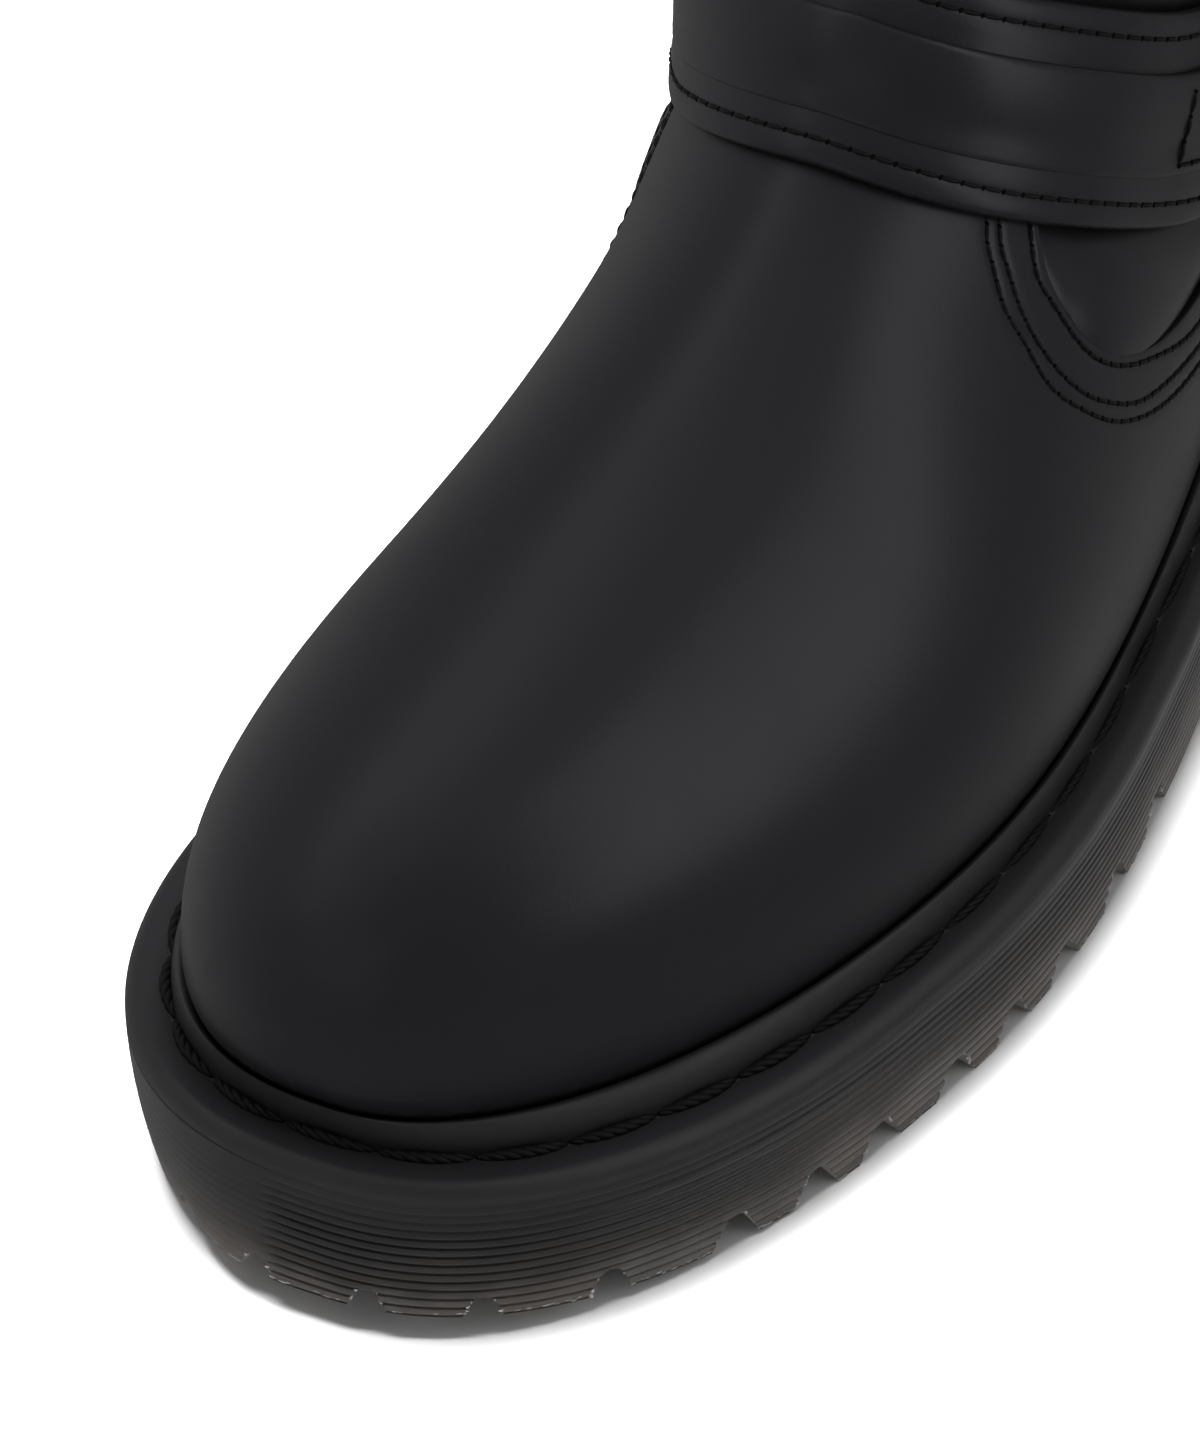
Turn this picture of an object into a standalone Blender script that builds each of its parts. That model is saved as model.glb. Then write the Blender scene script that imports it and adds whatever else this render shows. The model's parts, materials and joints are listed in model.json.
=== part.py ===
"""Left harness boot: lugged outsole, heel, welt, insole, hollow upper, ankle straps and rings.

Sizes are millimetres, measured from the back of the heel along x (toe is +x), with the
lateral side at +y and the floor at z = 0. add_mesh moves them to the part's frame in metres.
"""
import bmesh
import bpy
import numpy as np

MM = 0.001
ORIGIN_X = 150.363
ORIGIN_Y = -1.375

GAP = 0.3
WALL = 2.8
SHAFT_STEP = 1.2
FLANGE = 3.2
RIB_ZONE = 22.0
RIBS = 13
RIB_DEPTH = 0.6
WALL_DRAFT = 1.0
INSOLE = 3.0

SEAT_FORE = 25.5
HEEL_RISE = 16.0
HEEL_FLAT_END = 45.0
WAIST_END = 165.0
SPRING_START = 235.0
SPRING_END = 300.0
TOE_SPRING = 6.2

TOE_TIP = 290.0
TOE_NOSE = 41.0
STATIONS = 11

# One section of the last in each row. The ridge is its front or top, the base its back or
# bottom; widest is where between them the lateral and medial half widths lie.
SECTION_COLUMNS = ("ridge_x", "ridge_z", "base_x", "base_z",
                   "lateral", "medial", "centre", "widest", "top_power", "foot_power")
SECTIONS = {
    "collar": (113, 260.0, 6, 256.0, 48.0, 46.0, 0.0, 0.50, 2.10, 2.2),
    "shaft": (110, 216.0, 7, 204.0, 45.0, 43.5, 0.0, 0.50, 2.10, 2.2),
    "ankle": (113, 176.0, 12.5, 152.0, 41.0, 40.0, 0.0, 0.50, 2.10, 2.2),
    "bend": (124, 143.0, 12.5, 108.0, 39.5, 38.5, 0.0, 0.48, 2.10, 2.3),
    "heel": (138, 122.0, 8.5, 66.0, 37.0, 36.0, 0.0, 0.45, 2.10, 2.3),
    "seat": (150, 110.3, 24, 28.0, 36.5, 34.5, 0.0, 0.41, 2.10, 2.3),
    "waist": (162, 101.8, 78, 21.0, 40.5, 35.5, 0.0, 0.36, 2.10, 2.3),
    "instep": (176, 95.6, 128, 18.0, 45.3, 36.7, 0.0, 0.31, 2.10, 2.5),
    "ball": (196, 88.4, 182, 17.0, 48.3, 39.5, -0.6, 0.29, 2.15, 2.7),
    "vamp": (222, 81.0, 222, 17.0, 47.8, 41.8, -4.3, 0.30, 2.20, 2.7),
    "toe": (252, 78.0, 252, 17.5, 47.3, 42.6, -9.1, 0.33, 2.25, 2.7),
    "tip": (TOE_TIP, 81.0, TOE_TIP, 21.0, 46.8, 44.0, -14.3, 0.36, 2.30, 2.6),
}

# Where the toe begins to round and how full it is: start x and power.
TOE_ROUND = {
    "lateral": (180.0, 2.05),
    "medial": (214.5, 2.33),
    "top": (214.0, 2.5),
    "foot": (240.0, 2.3),
}

# Rear edge of the vamp and the row line above it that turns into the heel:
# share of the half girth, station of the edge, station of the line above.
VAMP_EDGE = {
    "front": (0.00, 4.45, 3.90),
    "under_strap": (0.20, 4.60, 4.00),
    "strap_middle": (0.30, 5.30, 4.20),
    "strap_edge": (0.38, 6.05, 4.30),
    "fall": (0.42, 6.38, 4.34),
    "low_point": (0.50, 6.61, 4.40),
    "turn": (0.60, 6.46, 4.45),
    "side": (0.67, 6.13, 4.48),
    "waist": (0.73, 5.80, 4.50),
    "quarter": (0.85, 5.60, 4.53),
    "foot": (1.00, 5.45, 4.56),
}

# Rim of the sole beyond the foot of the upper: x, lateral, medial.
RIM_MARGIN = {
    "heel": (0.0, 8.5, 8.5),
    "heel_side": (60.0, 7.0, 7.0),
    "waist": (110.0, 8.6, 7.4),
    "joint": (155.0, 10.6, 8.6),
    "ball": (225.0, 10.8, 10.0),
    "toe": (283.0, 13.3, 13.3),
    "tip": (320.0, 13.3, 13.3),
}

# Notches between the lugs: distance of each root from the toe tip along the rim.
LATERAL_NOTCHES = (7.7, 23.7, 41.9, 61.9, 76.1, 88.5, 104.1, 117.1, 130.4, 146.6, 162.1)
MEDIAL_NOTCHES = (8.7, 24.0, 42.0, 60.0, 75.0, 90.0, 105.0, 120.0, 135.0)
NOTCH_WIDTH = 6.0
NOTCH_ROOF = 4.2
NOTCH_HEIGHT = 5.0
NOTCH_REACH = 12.0

HEEL_BREAST = 88.0
HEEL_RIBS = 7
HEEL_DRAFT = 0.8
HEEL_NOTCHES = (30.0, 50.0, 68.0)

BEAD_WIDTH = 5.6
BEAD_HEIGHT = 4.2

UPPER_COLUMNS = 13
SHAFT_ROWS = 8
HEEL_ROWS = (0.02, 0.08, 0.18, 0.32, 0.5, 0.72, 1.0)
VAMP_ROWS = (0.0, 0.06, 0.13, 0.22, 0.32, 0.43, 0.54, 0.64, 0.73, 0.81, 0.87, 0.92, 0.96, 0.985, 1.0)
NOSE_ROWS = (0.75, 1.0)

# Broad strap round the ankle: angle from the ridge, stations of its lower and upper edge.
BASE_STRAP = {
    "front": (0.00, 6.07, 4.15),
    "front_side": (0.50, 6.07, 4.28),
    "side": (0.85, 5.95, 4.45),
    "box_stitch": (1.10, 5.86, 4.52),
    "before_ring": (1.25, 5.78, 4.43),
    "ring": (1.40, 5.60, 4.33),
    "after_ring": (1.57, 5.25, 4.14),
    "quarter": (1.72, 4.90, 4.02),
    "heel_side": (2.05, 4.50, 3.70),
    "heel": (2.50, 4.20, 3.42),
    "back": (3.1416, 4.05, 3.22),
}
STRAP_GAP = 0.5
STRAP_THICK = 1.8
TOP_STRAP_GAP = 0.5
STRAP_DROP = (0.75, 1.10)
TOP_STRAP = (0.24, 0.72)
RING_ANGLE = 1.42
RING_RADIUS = 14.0
RING_WIRE = 2.1
RING_CLEAR = 0.9

LEATHER = (0.018, 0.018, 0.020, 1.0)
RAND = (0.016, 0.016, 0.017, 1.0)
SMOKE = (0.055, 0.048, 0.042, 1.0)
LINING = (0.20, 0.17, 0.13, 1.0)
STEEL = (0.55, 0.55, 0.56, 1.0)


def smooth_curve(places, values):
    """Natural cubic curve through the values."""
    places = np.asarray(places, float)
    values = np.asarray(values, float)
    count = len(places)
    step = np.diff(places)
    matrix = np.eye(count)
    right = np.zeros(count)
    for i in range(1, count - 1):
        matrix[i, i - 1:i + 2] = (step[i - 1], 2 * (step[i - 1] + step[i]), step[i])
        slope_in = (values[i] - values[i - 1]) / step[i - 1]
        slope_out = (values[i + 1] - values[i]) / step[i]
        right[i] = 6 * (slope_out - slope_in)
    bend = np.linalg.solve(matrix, right)

    def curve(at):
        at = np.asarray(at, float)
        i = np.clip(np.searchsorted(places, at) - 1, 0, count - 2)
        ahead = places[i + 1] - at
        behind = at - places[i]
        h = step[i]
        cubic = (bend[i] * ahead ** 3 + bend[i + 1] * behind ** 3) / (6 * h)
        low = (values[i] / h - bend[i] * h / 6) * ahead
        high = (values[i + 1] / h - bend[i + 1] * h / 6) * behind
        return cubic + low + high

    return curve


def column_curves(table, names):
    """A smooth curve over the row number for each named column."""
    rows = list(table.values())
    places = np.arange(len(rows))
    return {name: smooth_curve(places, [row[i] for row in rows])
            for i, name in enumerate(names)}


SECTION = column_curves(SECTIONS, SECTION_COLUMNS)


def ease(u):
    u = np.clip(u, 0.0, 1.0)
    return u * u * (3 - 2 * u)


def seat(x):
    """Height of the plane on which the upper stands: heel rise, flat forefoot, toe spring."""
    rise = HEEL_RISE * ease((WAIST_END - x) / (WAIST_END - HEEL_FLAT_END))
    spring = TOE_SPRING * np.clip((x - SPRING_START) / (SPRING_END - SPRING_START), 0, 2) ** 2
    return SEAT_FORE + rise + spring


def toe_round(side, x):
    start, power = TOE_ROUND[side]
    u = np.clip((x - start) / (TOE_TIP - start), 0.0, 1.0)
    return (1 - u ** power) ** (1 / power)


def last_point(station, angle):
    """Point of the last: angle 0 on the ridge, pi on the base, positive on the lateral side."""
    station, angle = np.broadcast_arrays(np.asarray(station, float), np.asarray(angle, float))
    row = {name: curve(station) for name, curve in SECTION.items()}
    ridge_x = row["ridge_x"]
    base_x = row["base_x"]
    top_round = toe_round("top", ridge_x)
    foot_round = toe_round("foot", base_x)
    ridge_z = TOE_NOSE + (row["ridge_z"] - TOE_NOSE) * top_round
    base_z = TOE_NOSE - (TOE_NOSE - row["base_z"]) * foot_round
    lateral = row["lateral"] * toe_round("lateral", ridge_x)
    medial = row["medial"] * toe_round("medial", ridge_x)
    turn = np.abs(angle)
    above = turn <= np.pi / 2
    power = 2 / np.where(above, row["top_power"], row["foot_power"])
    out = np.maximum(np.sin(np.minimum(turn, np.pi)), 0.0) ** power
    along = np.abs(np.cos(turn)) ** power
    widest = row["widest"]
    share = np.where(above, widest + (1 - widest) * along, widest - widest * along)
    x = base_x + share * (ridge_x - base_x)
    y = row["centre"] + np.where(angle >= 0, lateral, -medial) * out
    z = base_z + share * (ridge_z - base_z)
    return np.stack([x, y, z], axis=-1)


def foot_angle(station, side, lift=0.0):
    """Angle at which a section reaches the seat, or pi where it closes above it."""
    station = np.asarray(station, float)
    low = np.full(station.shape, 0.2)
    high = np.full(station.shape, np.pi)
    for _ in range(44):
        middle = (low + high) / 2
        point = last_point(station, side * middle)
        over = point[..., 2] > seat(point[..., 0]) + lift
        low = np.where(over, middle, low)
        high = np.where(over, high, middle)
    return (low + high) / 2


def base_crossing(low, high, lift):
    """Station between low and high whose base point lies on the seat."""
    def above(station):
        point = last_point(station, np.pi)
        return point[2] > seat(point[0]) + lift
    falls = above(low)
    for _ in range(44):
        middle = (low + high) / 2
        if above(middle) == falls:
            low = middle
        else:
            high = middle
    return (low + high) / 2


def last_normal(station, angle):
    """Outward direction of the last."""
    step = 0.004
    station = np.clip(station, step, STATIONS - 3 * step)
    closed = np.abs(angle) > np.pi - 1e-6
    angle = np.clip(angle, -np.pi + 2 * step, np.pi - 2 * step)
    along = last_point(station + step, angle) - last_point(station - step, angle)
    around = last_point(station, angle + step) - last_point(station, angle - step)
    normal = np.cross(along, around)
    normal[..., 1] = np.where(closed, 0.0, normal[..., 1])
    return normal / np.linalg.norm(normal, axis=-1, keepdims=True)


def skin(station, angle, lift=0.0):
    """Point off the upper's outer face."""
    station, angle, lift = np.broadcast_arrays(station, angle, lift)
    return last_point(station, angle) + last_normal(station, angle) * lift[..., None]


def foot_line(lift=0.0, count=500):
    """The line where the upper meets the seat, from the back round the lateral side."""
    first = base_crossing(4.0, 6.0, lift)
    last = base_crossing(10.0, 11.0, lift)
    u = np.linspace(0, 1, count)
    station = first + (last - first) * np.sin(u * np.pi / 2) ** 2
    lateral = last_point(station, foot_angle(station, 1.0, lift))
    medial = last_point(station, -foot_angle(station, -1.0, lift))
    return np.concatenate([lateral, medial[-2:0:-1]])


def offset_outward(line, distance):
    """Move a closed plan line outward by a distance at each point."""
    along = np.roll(line, -1, axis=0) - np.roll(line, 1, axis=0)
    length = np.hypot(along[:, 0], along[:, 1])
    moved = line.copy()
    moved[:, 0] -= along[:, 1] / length * distance
    moved[:, 1] += along[:, 0] / length * distance
    return moved


def rim_margin(line):
    rows = np.array(list(RIM_MARGIN.values()))
    lateral = np.arange(len(line)) < len(line) / 2
    wide = np.interp(line[:, 0], rows[:, 0], rows[:, 1])
    narrow = np.interp(line[:, 0], rows[:, 0], rows[:, 2])
    return np.where(lateral, wide, narrow)


FOOT_LINE = foot_line()


def columns(line, half):
    """Resample a closed line to the same x on both sides: back, lateral, tip, medial."""
    back = line[:, 0].argmin()
    line = np.roll(line, -back, axis=0)
    tip = line[:, 0].argmax()
    share = (1 - np.cos(np.pi * np.linspace(0, 1, half + 1))) / 2
    x = line[0, 0] + (line[tip, 0] - line[0, 0]) * share
    one = np.interp(x, line[:tip + 1, 0], line[:tip + 1, 1])
    other_line = np.concatenate([line[tip:], line[:1]])[::-1]
    other = np.interp(x, other_line[:, 0], other_line[:, 1])
    lateral = np.stack([x, one], axis=-1)
    medial = np.stack([x, other], axis=-1)
    return np.concatenate([lateral, medial[-2:0:-1]])


def rim(half, inset=0.0):
    return columns(offset_outward(FOOT_LINE, rim_margin(FOOT_LINE) - inset), half)


def with_heights(plan, heights):
    return np.column_stack([plan[:, 0], plan[:, 1], heights])


def add_mesh(name, points, faces, colour, rough=0.5, metal=0.0):
    """Make the object in metres in the part's frame, with its own material."""
    moved = (np.asarray(points, float) - (ORIGIN_X, ORIGIN_Y, 0.0)) * MM
    mesh = bpy.data.meshes.new(name)
    mesh.from_pydata([tuple(p) for p in moved], [], faces)
    body = bmesh.new()
    body.from_mesh(mesh)
    bmesh.ops.remove_doubles(body, verts=body.verts, dist=1e-6)
    bmesh.ops.recalc_face_normals(body, faces=body.faces)
    body.to_mesh(mesh)
    body.free()
    piece = bpy.data.objects.new(name, mesh)
    bpy.context.scene.collection.objects.link(piece)
    material = bpy.data.materials.new(name)
    material.use_nodes = True
    shader = material.node_tree.nodes["Principled BSDF"]
    shader.inputs["Base Color"].default_value = colour
    shader.inputs["Roughness"].default_value = rough
    shader.inputs["Metallic"].default_value = metal
    mesh.materials.append(material)
    return piece


def bands(rings, loop=False):
    """Quads between neighbouring rings; each ring closes on itself, and the stack may too."""
    count = len(rings[0])
    faces = []
    for i in range(len(rings) if loop else len(rings) - 1):
        low = i * count
        high = (i + 1) % len(rings) * count
        for j in range(count):
            k = (j + 1) % count
            faces.append((low + j, low + k, high + k, high + j))
    return faces


def cross_cap(start, lateral, medial):
    """Strips across one ring from its lateral to its medial columns."""
    faces = []
    for i in range(len(lateral) - 1):
        corners = (lateral[i], lateral[i + 1], medial[i + 1], medial[i])
        faces.append(tuple(start + k for k in dict.fromkeys(corners)))
    return faces


def stacked_solid(name, rings, half, colour, rough):
    """A closed body of stacked rings. Each runs back, lateral, front, medial."""
    count = len(rings[0])
    lateral = list(range(half + 1))
    medial = [-k % count for k in range(half + 1)]
    faces = bands(rings)
    faces += cross_cap(0, lateral, medial)
    faces += cross_cap((len(rings) - 1) * count, lateral, medial)
    return add_mesh(name, np.concatenate(rings), faces, colour, rough)


def rim_walk(distances, side, from_toe):
    """Place and outward direction at each distance along the rim from the toe or the back."""
    line = offset_outward(FOOT_LINE, rim_margin(FOOT_LINE))[:, :2]
    start = line[:, 0].argmax() if from_toe else line[:, 0].argmin()
    line = np.roll(line, -start, axis=0)
    if (side > 0) == from_toe:
        line = np.roll(line[::-1], 1, axis=0)
    gone = np.concatenate([[0.0], np.cumsum(np.linalg.norm(np.diff(line, axis=0), axis=1))])
    middle = line.mean(axis=0)
    found = []
    for distance in distances:
        place = np.array([np.interp(distance, gone, line[:, k]) for k in (0, 1)])
        ahead = np.array([np.interp(distance + 2.0, gone, line[:, k]) for k in (0, 1)])
        along = (ahead - place) / np.linalg.norm(ahead - place)
        outward = np.array([along[1], -along[0]])
        if outward @ (place - middle) < 0:
            outward = -outward
        found.append((place, outward))
    return found


def wedge(place, outward, bottom, top):
    """Corners of a notch cutter that reaches in from the rim and narrows upward."""
    side = np.array([-outward[1], outward[0]])
    corners = []
    for z, wide in ((bottom, NOTCH_WIDTH), (top, NOTCH_ROOF)):
        for reach, sign in ((4.0, -1), (4.0, 1), (-NOTCH_REACH, 1), (-NOTCH_REACH, -1)):
            plan = place + outward * reach + side * sign * wide / 2
            corners.append((plan[0], plan[1], z))
    return corners


WEDGE_FACES = ((3, 2, 1, 0), (4, 5, 6, 7), (0, 1, 5, 4), (1, 2, 6, 5), (2, 3, 7, 6), (3, 0, 4, 7))


def cut_notches(piece, walks, floor):
    """Cut all the notches between the lugs in one step."""
    points = []
    faces = []
    for place, outward in walks:
        start = len(points)
        low = floor(place[0])
        points += wedge(place, outward, low - 4.0, low + NOTCH_HEIGHT)
        faces += [tuple(start + k for k in face) for face in WEDGE_FACES]
    cutter = add_mesh("notch_cutter", points, faces, RAND)
    cut = piece.modifiers.new("notches", "BOOLEAN")
    cut.operation = "DIFFERENCE"
    cut.solver = "EXACT"
    cut.object = cutter
    bpy.context.view_layer.update()
    graph = bpy.context.evaluated_depsgraph_get()
    result = bpy.data.meshes.new_from_object(piece.evaluated_get(graph))
    piece.modifiers.clear()
    piece.data = result
    bpy.data.objects.remove(cutter, do_unlink=True)


def outsole_top(x):
    return seat(x) - FLANGE - GAP


def outsole_floor(x):
    return outsole_top(x) - RIB_ZONE


def build_outsole():
    """A slab as deep as the ribbed edge, curved up at the waist and the toe."""
    half = 32
    rings = []
    for k in range(2 * RIBS + 1):
        share = k / (2 * RIBS)
        plan = rim(half, WALL_DRAFT * share + RIB_DEPTH * (k % 2))
        rings.append(with_heights(plan, outsole_top(plan[:, 0]) - RIB_ZONE * share))
    piece = stacked_solid("outsole", rings, half, SMOKE, 0.45)
    walks = rim_walk(LATERAL_NOTCHES, 1, True) + rim_walk(MEDIAL_NOTCHES, -1, True)
    cut_notches(piece, walks, outsole_floor)


def heel_plan(inset, half):
    """The rim back of the breast line, lateral corner to medial corner last and first."""
    full = rim(160, WALL_DRAFT + inset)
    lateral = full[:161]
    medial = np.concatenate([full[:1], full[:159:-1]])
    share = 1 - np.cos(np.pi / 2 * np.linspace(0, 1, half + 1))
    x = full[0, 0] + (HEEL_BREAST - full[0, 0]) * share
    one = np.column_stack([x, np.interp(x, lateral[:, 0], lateral[:, 1])])
    other = np.column_stack([x, np.interp(x, medial[:, 0], medial[:, 1])])
    return np.concatenate([one, other[:0:-1]])


def build_heel():
    half = 14
    rings = []
    for k in range(2 * HEEL_RIBS + 1):
        share = k / (2 * HEEL_RIBS)
        plan = heel_plan(HEEL_DRAFT * share + RIB_DEPTH * (k % 2), half)
        rings.append(with_heights(plan, (outsole_floor(plan[:, 0]) - GAP) * (1 - share)))
    piece = stacked_solid("heel", rings, half, SMOKE, 0.45)
    walks = rim_walk(HEEL_NOTCHES, 1, False) + rim_walk(HEEL_NOTCHES, -1, False)
    cut_notches(piece, walks, lambda x: 0.0)


def build_welt():
    """Plate between the outsole and the upper, with a flange and a bead round the upper."""
    half = 34

    def beside_upper(lift, out):
        return columns(offset_outward(foot_line(lift), out), half)

    def at(plan, above_seat):
        return with_heights(plan, seat(plan[:, 0]) + above_seat)

    rings = [
        at(rim(half, 0.9), -FLANGE),
        at(rim(half, -0.3), -FLANGE + 0.9),
        at(rim(half, -0.3), -1.0),
        at(rim(half, 0.7), 0.0),
        at(beside_upper(0.0, BEAD_WIDTH), 0.0),
        at(beside_upper(0.0, BEAD_WIDTH), BEAD_HEIGHT * 0.5),
        at(beside_upper(0.0, BEAD_WIDTH * 0.74), BEAD_HEIGHT * 0.93),
        at(beside_upper(BEAD_HEIGHT * 0.9, GAP + 0.2), BEAD_HEIGHT * 0.9),
        at(beside_upper(0.0, GAP), 0.0),
    ]
    stacked_solid("welt", rings, half, RAND, 0.4)


def build_insole():
    half = 20
    plan = columns(offset_outward(foot_line(GAP), -WALL - 2.0), half)
    low = with_heights(plan, seat(plan[:, 0]) + GAP)
    high = with_heights(plan, seat(plan[:, 0]) + GAP + INSOLE)
    stacked_solid("insole", [low, high], half, LINING, 0.8)


def upper_stations(share):
    """Row lines of the upper, collar to nose, and how many of them lie behind the vamp."""
    rows = np.array(list(VAMP_EDGE.values()))
    edge = np.interp(np.abs(share), rows[:, 0], rows[:, 1])
    heel = np.interp(np.abs(share), rows[:, 0], rows[:, 2])
    heel = np.where(np.abs(share) == 1, base_crossing(4.0, 6.0, GAP), heel)
    toe = base_crossing(10.0, 11.0, GAP)
    shaft = [heel * k for k in np.linspace(0, 1, SHAFT_ROWS)]
    shaft += [heel + (edge - heel) * k for k in HEEL_ROWS]
    vamp = [edge + (toe - edge) * k for k in VAMP_ROWS]
    vamp += [np.full_like(share, toe + (STATIONS - toe) * k) for k in NOSE_ROWS]
    return shaft, vamp


def build_upper():
    """One hollow body; its outer face steps down behind the vamp's rear edge."""
    share = np.linspace(-1, 1, 2 * UPPER_COLUMNS + 1)
    side = np.where(share >= 0, 1.0, -1.0)
    shaft, vamp = upper_stations(share)

    def face(station, lift):
        return skin(station, share * foot_angle(station, side, GAP), lift)

    outer = [face(station, -SHAFT_STEP) for station in shaft]
    outer += [face(station, 0.0) for station in vamp]
    inner = [face(station, -WALL) for station in shaft + vamp[1:]]
    inner[-1] = outer[-1] - (WALL, 0.0, 0.0)
    width = len(share)
    depth = len(outer)

    def corner(row, column, inside):
        if inside:
            row = depth + (row if row < len(shaft) else row - 1)
        return row * width + column

    def strip(row, inside):
        return [(corner(row, j, inside), corner(row, j + 1, inside),
                 corner(row + 1, j + 1, inside), corner(row + 1, j, inside))
                for j in range(width - 1)]

    faces = []
    for row in range(depth - 1):
        faces += strip(row, False)
        if row != len(shaft) - 1:
            faces += strip(row, True)
    for j in range(width - 1):
        faces.append((corner(0, j, False), corner(0, j + 1, False),
                      corner(0, j + 1, True), corner(0, j, True)))
    for row in range(SHAFT_ROWS - 1, depth - 1 - len(NOSE_ROWS)):
        for j in (0, width - 1):
            rim_face = (corner(row, j, False), corner(row + 1, j, False),
                        corner(row + 1, j, True), corner(row, j, True))
            faces.append(tuple(dict.fromkeys(rim_face)))
    add_mesh("upper", np.concatenate(outer + inner), faces, LEATHER, 0.4)


def table_curve(table, column):
    """One column of a table as a smooth curve of its first column."""
    rows = list(table.values())
    return smooth_curve([row[0] for row in rows], [row[column] for row in rows])


STRAP_LOWER = table_curve(BASE_STRAP, 1)
STRAP_UPPER = table_curve(BASE_STRAP, 2)


def strap_line(angle, across):
    """Station and lift on the broad strap: across 0 at its lower edge, 1 at its upper edge."""
    turn = np.abs(angle)
    lower = STRAP_LOWER(turn)
    upper = STRAP_UPPER(turn)
    start, end = STRAP_DROP
    lift = STRAP_GAP - SHAFT_STEP * ease((turn - start) / (end - start))
    return lower + (upper - lower) * across, lift


def strap_section(angle, low, high, lift):
    """Closed section of a strap at one angle: under face up, then outer face down."""
    angle = (angle + np.pi) % (2 * np.pi) - np.pi
    ring = []
    for off, shares in ((0.0, (0, 0.34, 0.67, 1)), (STRAP_THICK, (1, 0.67, 0.34, 0))):
        for share in shares:
            station, ground = strap_line(angle, low + (high - low) * share)
            ring.append(skin(station, angle, ground + lift + off))
    return np.array(ring)


def build_base_strap():
    angles = np.linspace(-np.pi, np.pi, 43)[:-1]
    rings = [strap_section(angle, 0.0, 1.0, 0.0) for angle in angles]
    add_mesh("ankle_strap_base", np.concatenate(rings), bands(rings, True), LEATHER, 0.4)


def ring_place(side):
    """Middle and outward direction of the steel ring on one side."""
    angle = side * RING_ANGLE
    station, ground = strap_line(angle, sum(TOP_STRAP) / 2)
    lift = ground + STRAP_THICK + RING_CLEAR + RING_WIRE
    foot = last_point(station, angle)
    outward = last_normal(station, angle)
    return foot + outward * lift, outward


def clear_of_ring(side, start, end):
    """The first angle from start to end at which the narrow strap comes up to the ring."""
    middle, outward = ring_place(side)
    for angle in np.linspace(start, end, 400):
        places = strap_section(angle, *TOP_STRAP, STRAP_THICK + TOP_STRAP_GAP)
        if np.linalg.norm(places - middle, axis=1).min() < RING_RADIUS + RING_WIRE + GAP:
            return angle
    return end


def build_top_strap(name, angles):
    rings = [strap_section(angle, *TOP_STRAP, STRAP_THICK + TOP_STRAP_GAP) for angle in angles]
    count = len(rings[0])
    faces = bands(rings)
    faces.append(tuple(range(count)))
    faces.append(tuple(range((len(rings) - 1) * count, len(rings) * count)))
    add_mesh(name, np.concatenate(rings), faces, LEATHER, 0.4)


def build_ring(name, side):
    """A plain steel ring lying on the broad strap."""
    middle, outward = ring_place(side)
    first = np.cross(outward, (0.0, 0.0, 1.0))
    first /= np.linalg.norm(first)
    second = np.cross(outward, first)
    rings = []
    for turn in np.linspace(0, 2 * np.pi, 21)[:-1]:
        spoke = first * np.cos(turn) + second * np.sin(turn)
        centre = middle + spoke * RING_RADIUS
        rings.append(np.array([centre + RING_WIRE * (spoke * np.cos(a) + outward * np.sin(a))
                               for a in np.linspace(0, 2 * np.pi, 9)[:-1]]))
    add_mesh(name, np.concatenate(rings), bands(rings, True), STEEL, 0.25, 1.0)


def build_straps():
    build_base_strap()
    build_ring("ring_lateral", 1.0)
    build_ring("ring_medial", -1.0)
    lateral = clear_of_ring(1.0, 0.6, RING_ANGLE)
    medial = clear_of_ring(-1.0, -0.6, -RING_ANGLE)
    build_top_strap("ankle_strap_front", np.linspace(medial, lateral, 23))
    lateral = clear_of_ring(1.0, 2.4, RING_ANGLE)
    medial = clear_of_ring(-1.0, -2.4, -RING_ANGLE)
    build_top_strap("ankle_strap_rear", np.linspace(lateral, 2 * np.pi + medial, 21))


def remove_all():
    for item in list(bpy.data.objects):
        bpy.data.objects.remove(item, do_unlink=True)


remove_all()
build_outsole()
build_heel()
build_welt()
build_insole()
build_upper()
build_straps()
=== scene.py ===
"""Looks of the left harness boot: leather, threads, ribbed smoky sole, steel rings, light and camera.

Shapes are worked out in millimetres from the back of the heel along x (toe is +x), with the
lateral side at +y and the floor at z = 0, and moved to the frame in metres.
"""
import json
import math

import bmesh
import bpy
import numpy as np
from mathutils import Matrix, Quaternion, Vector, kdtree

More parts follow.
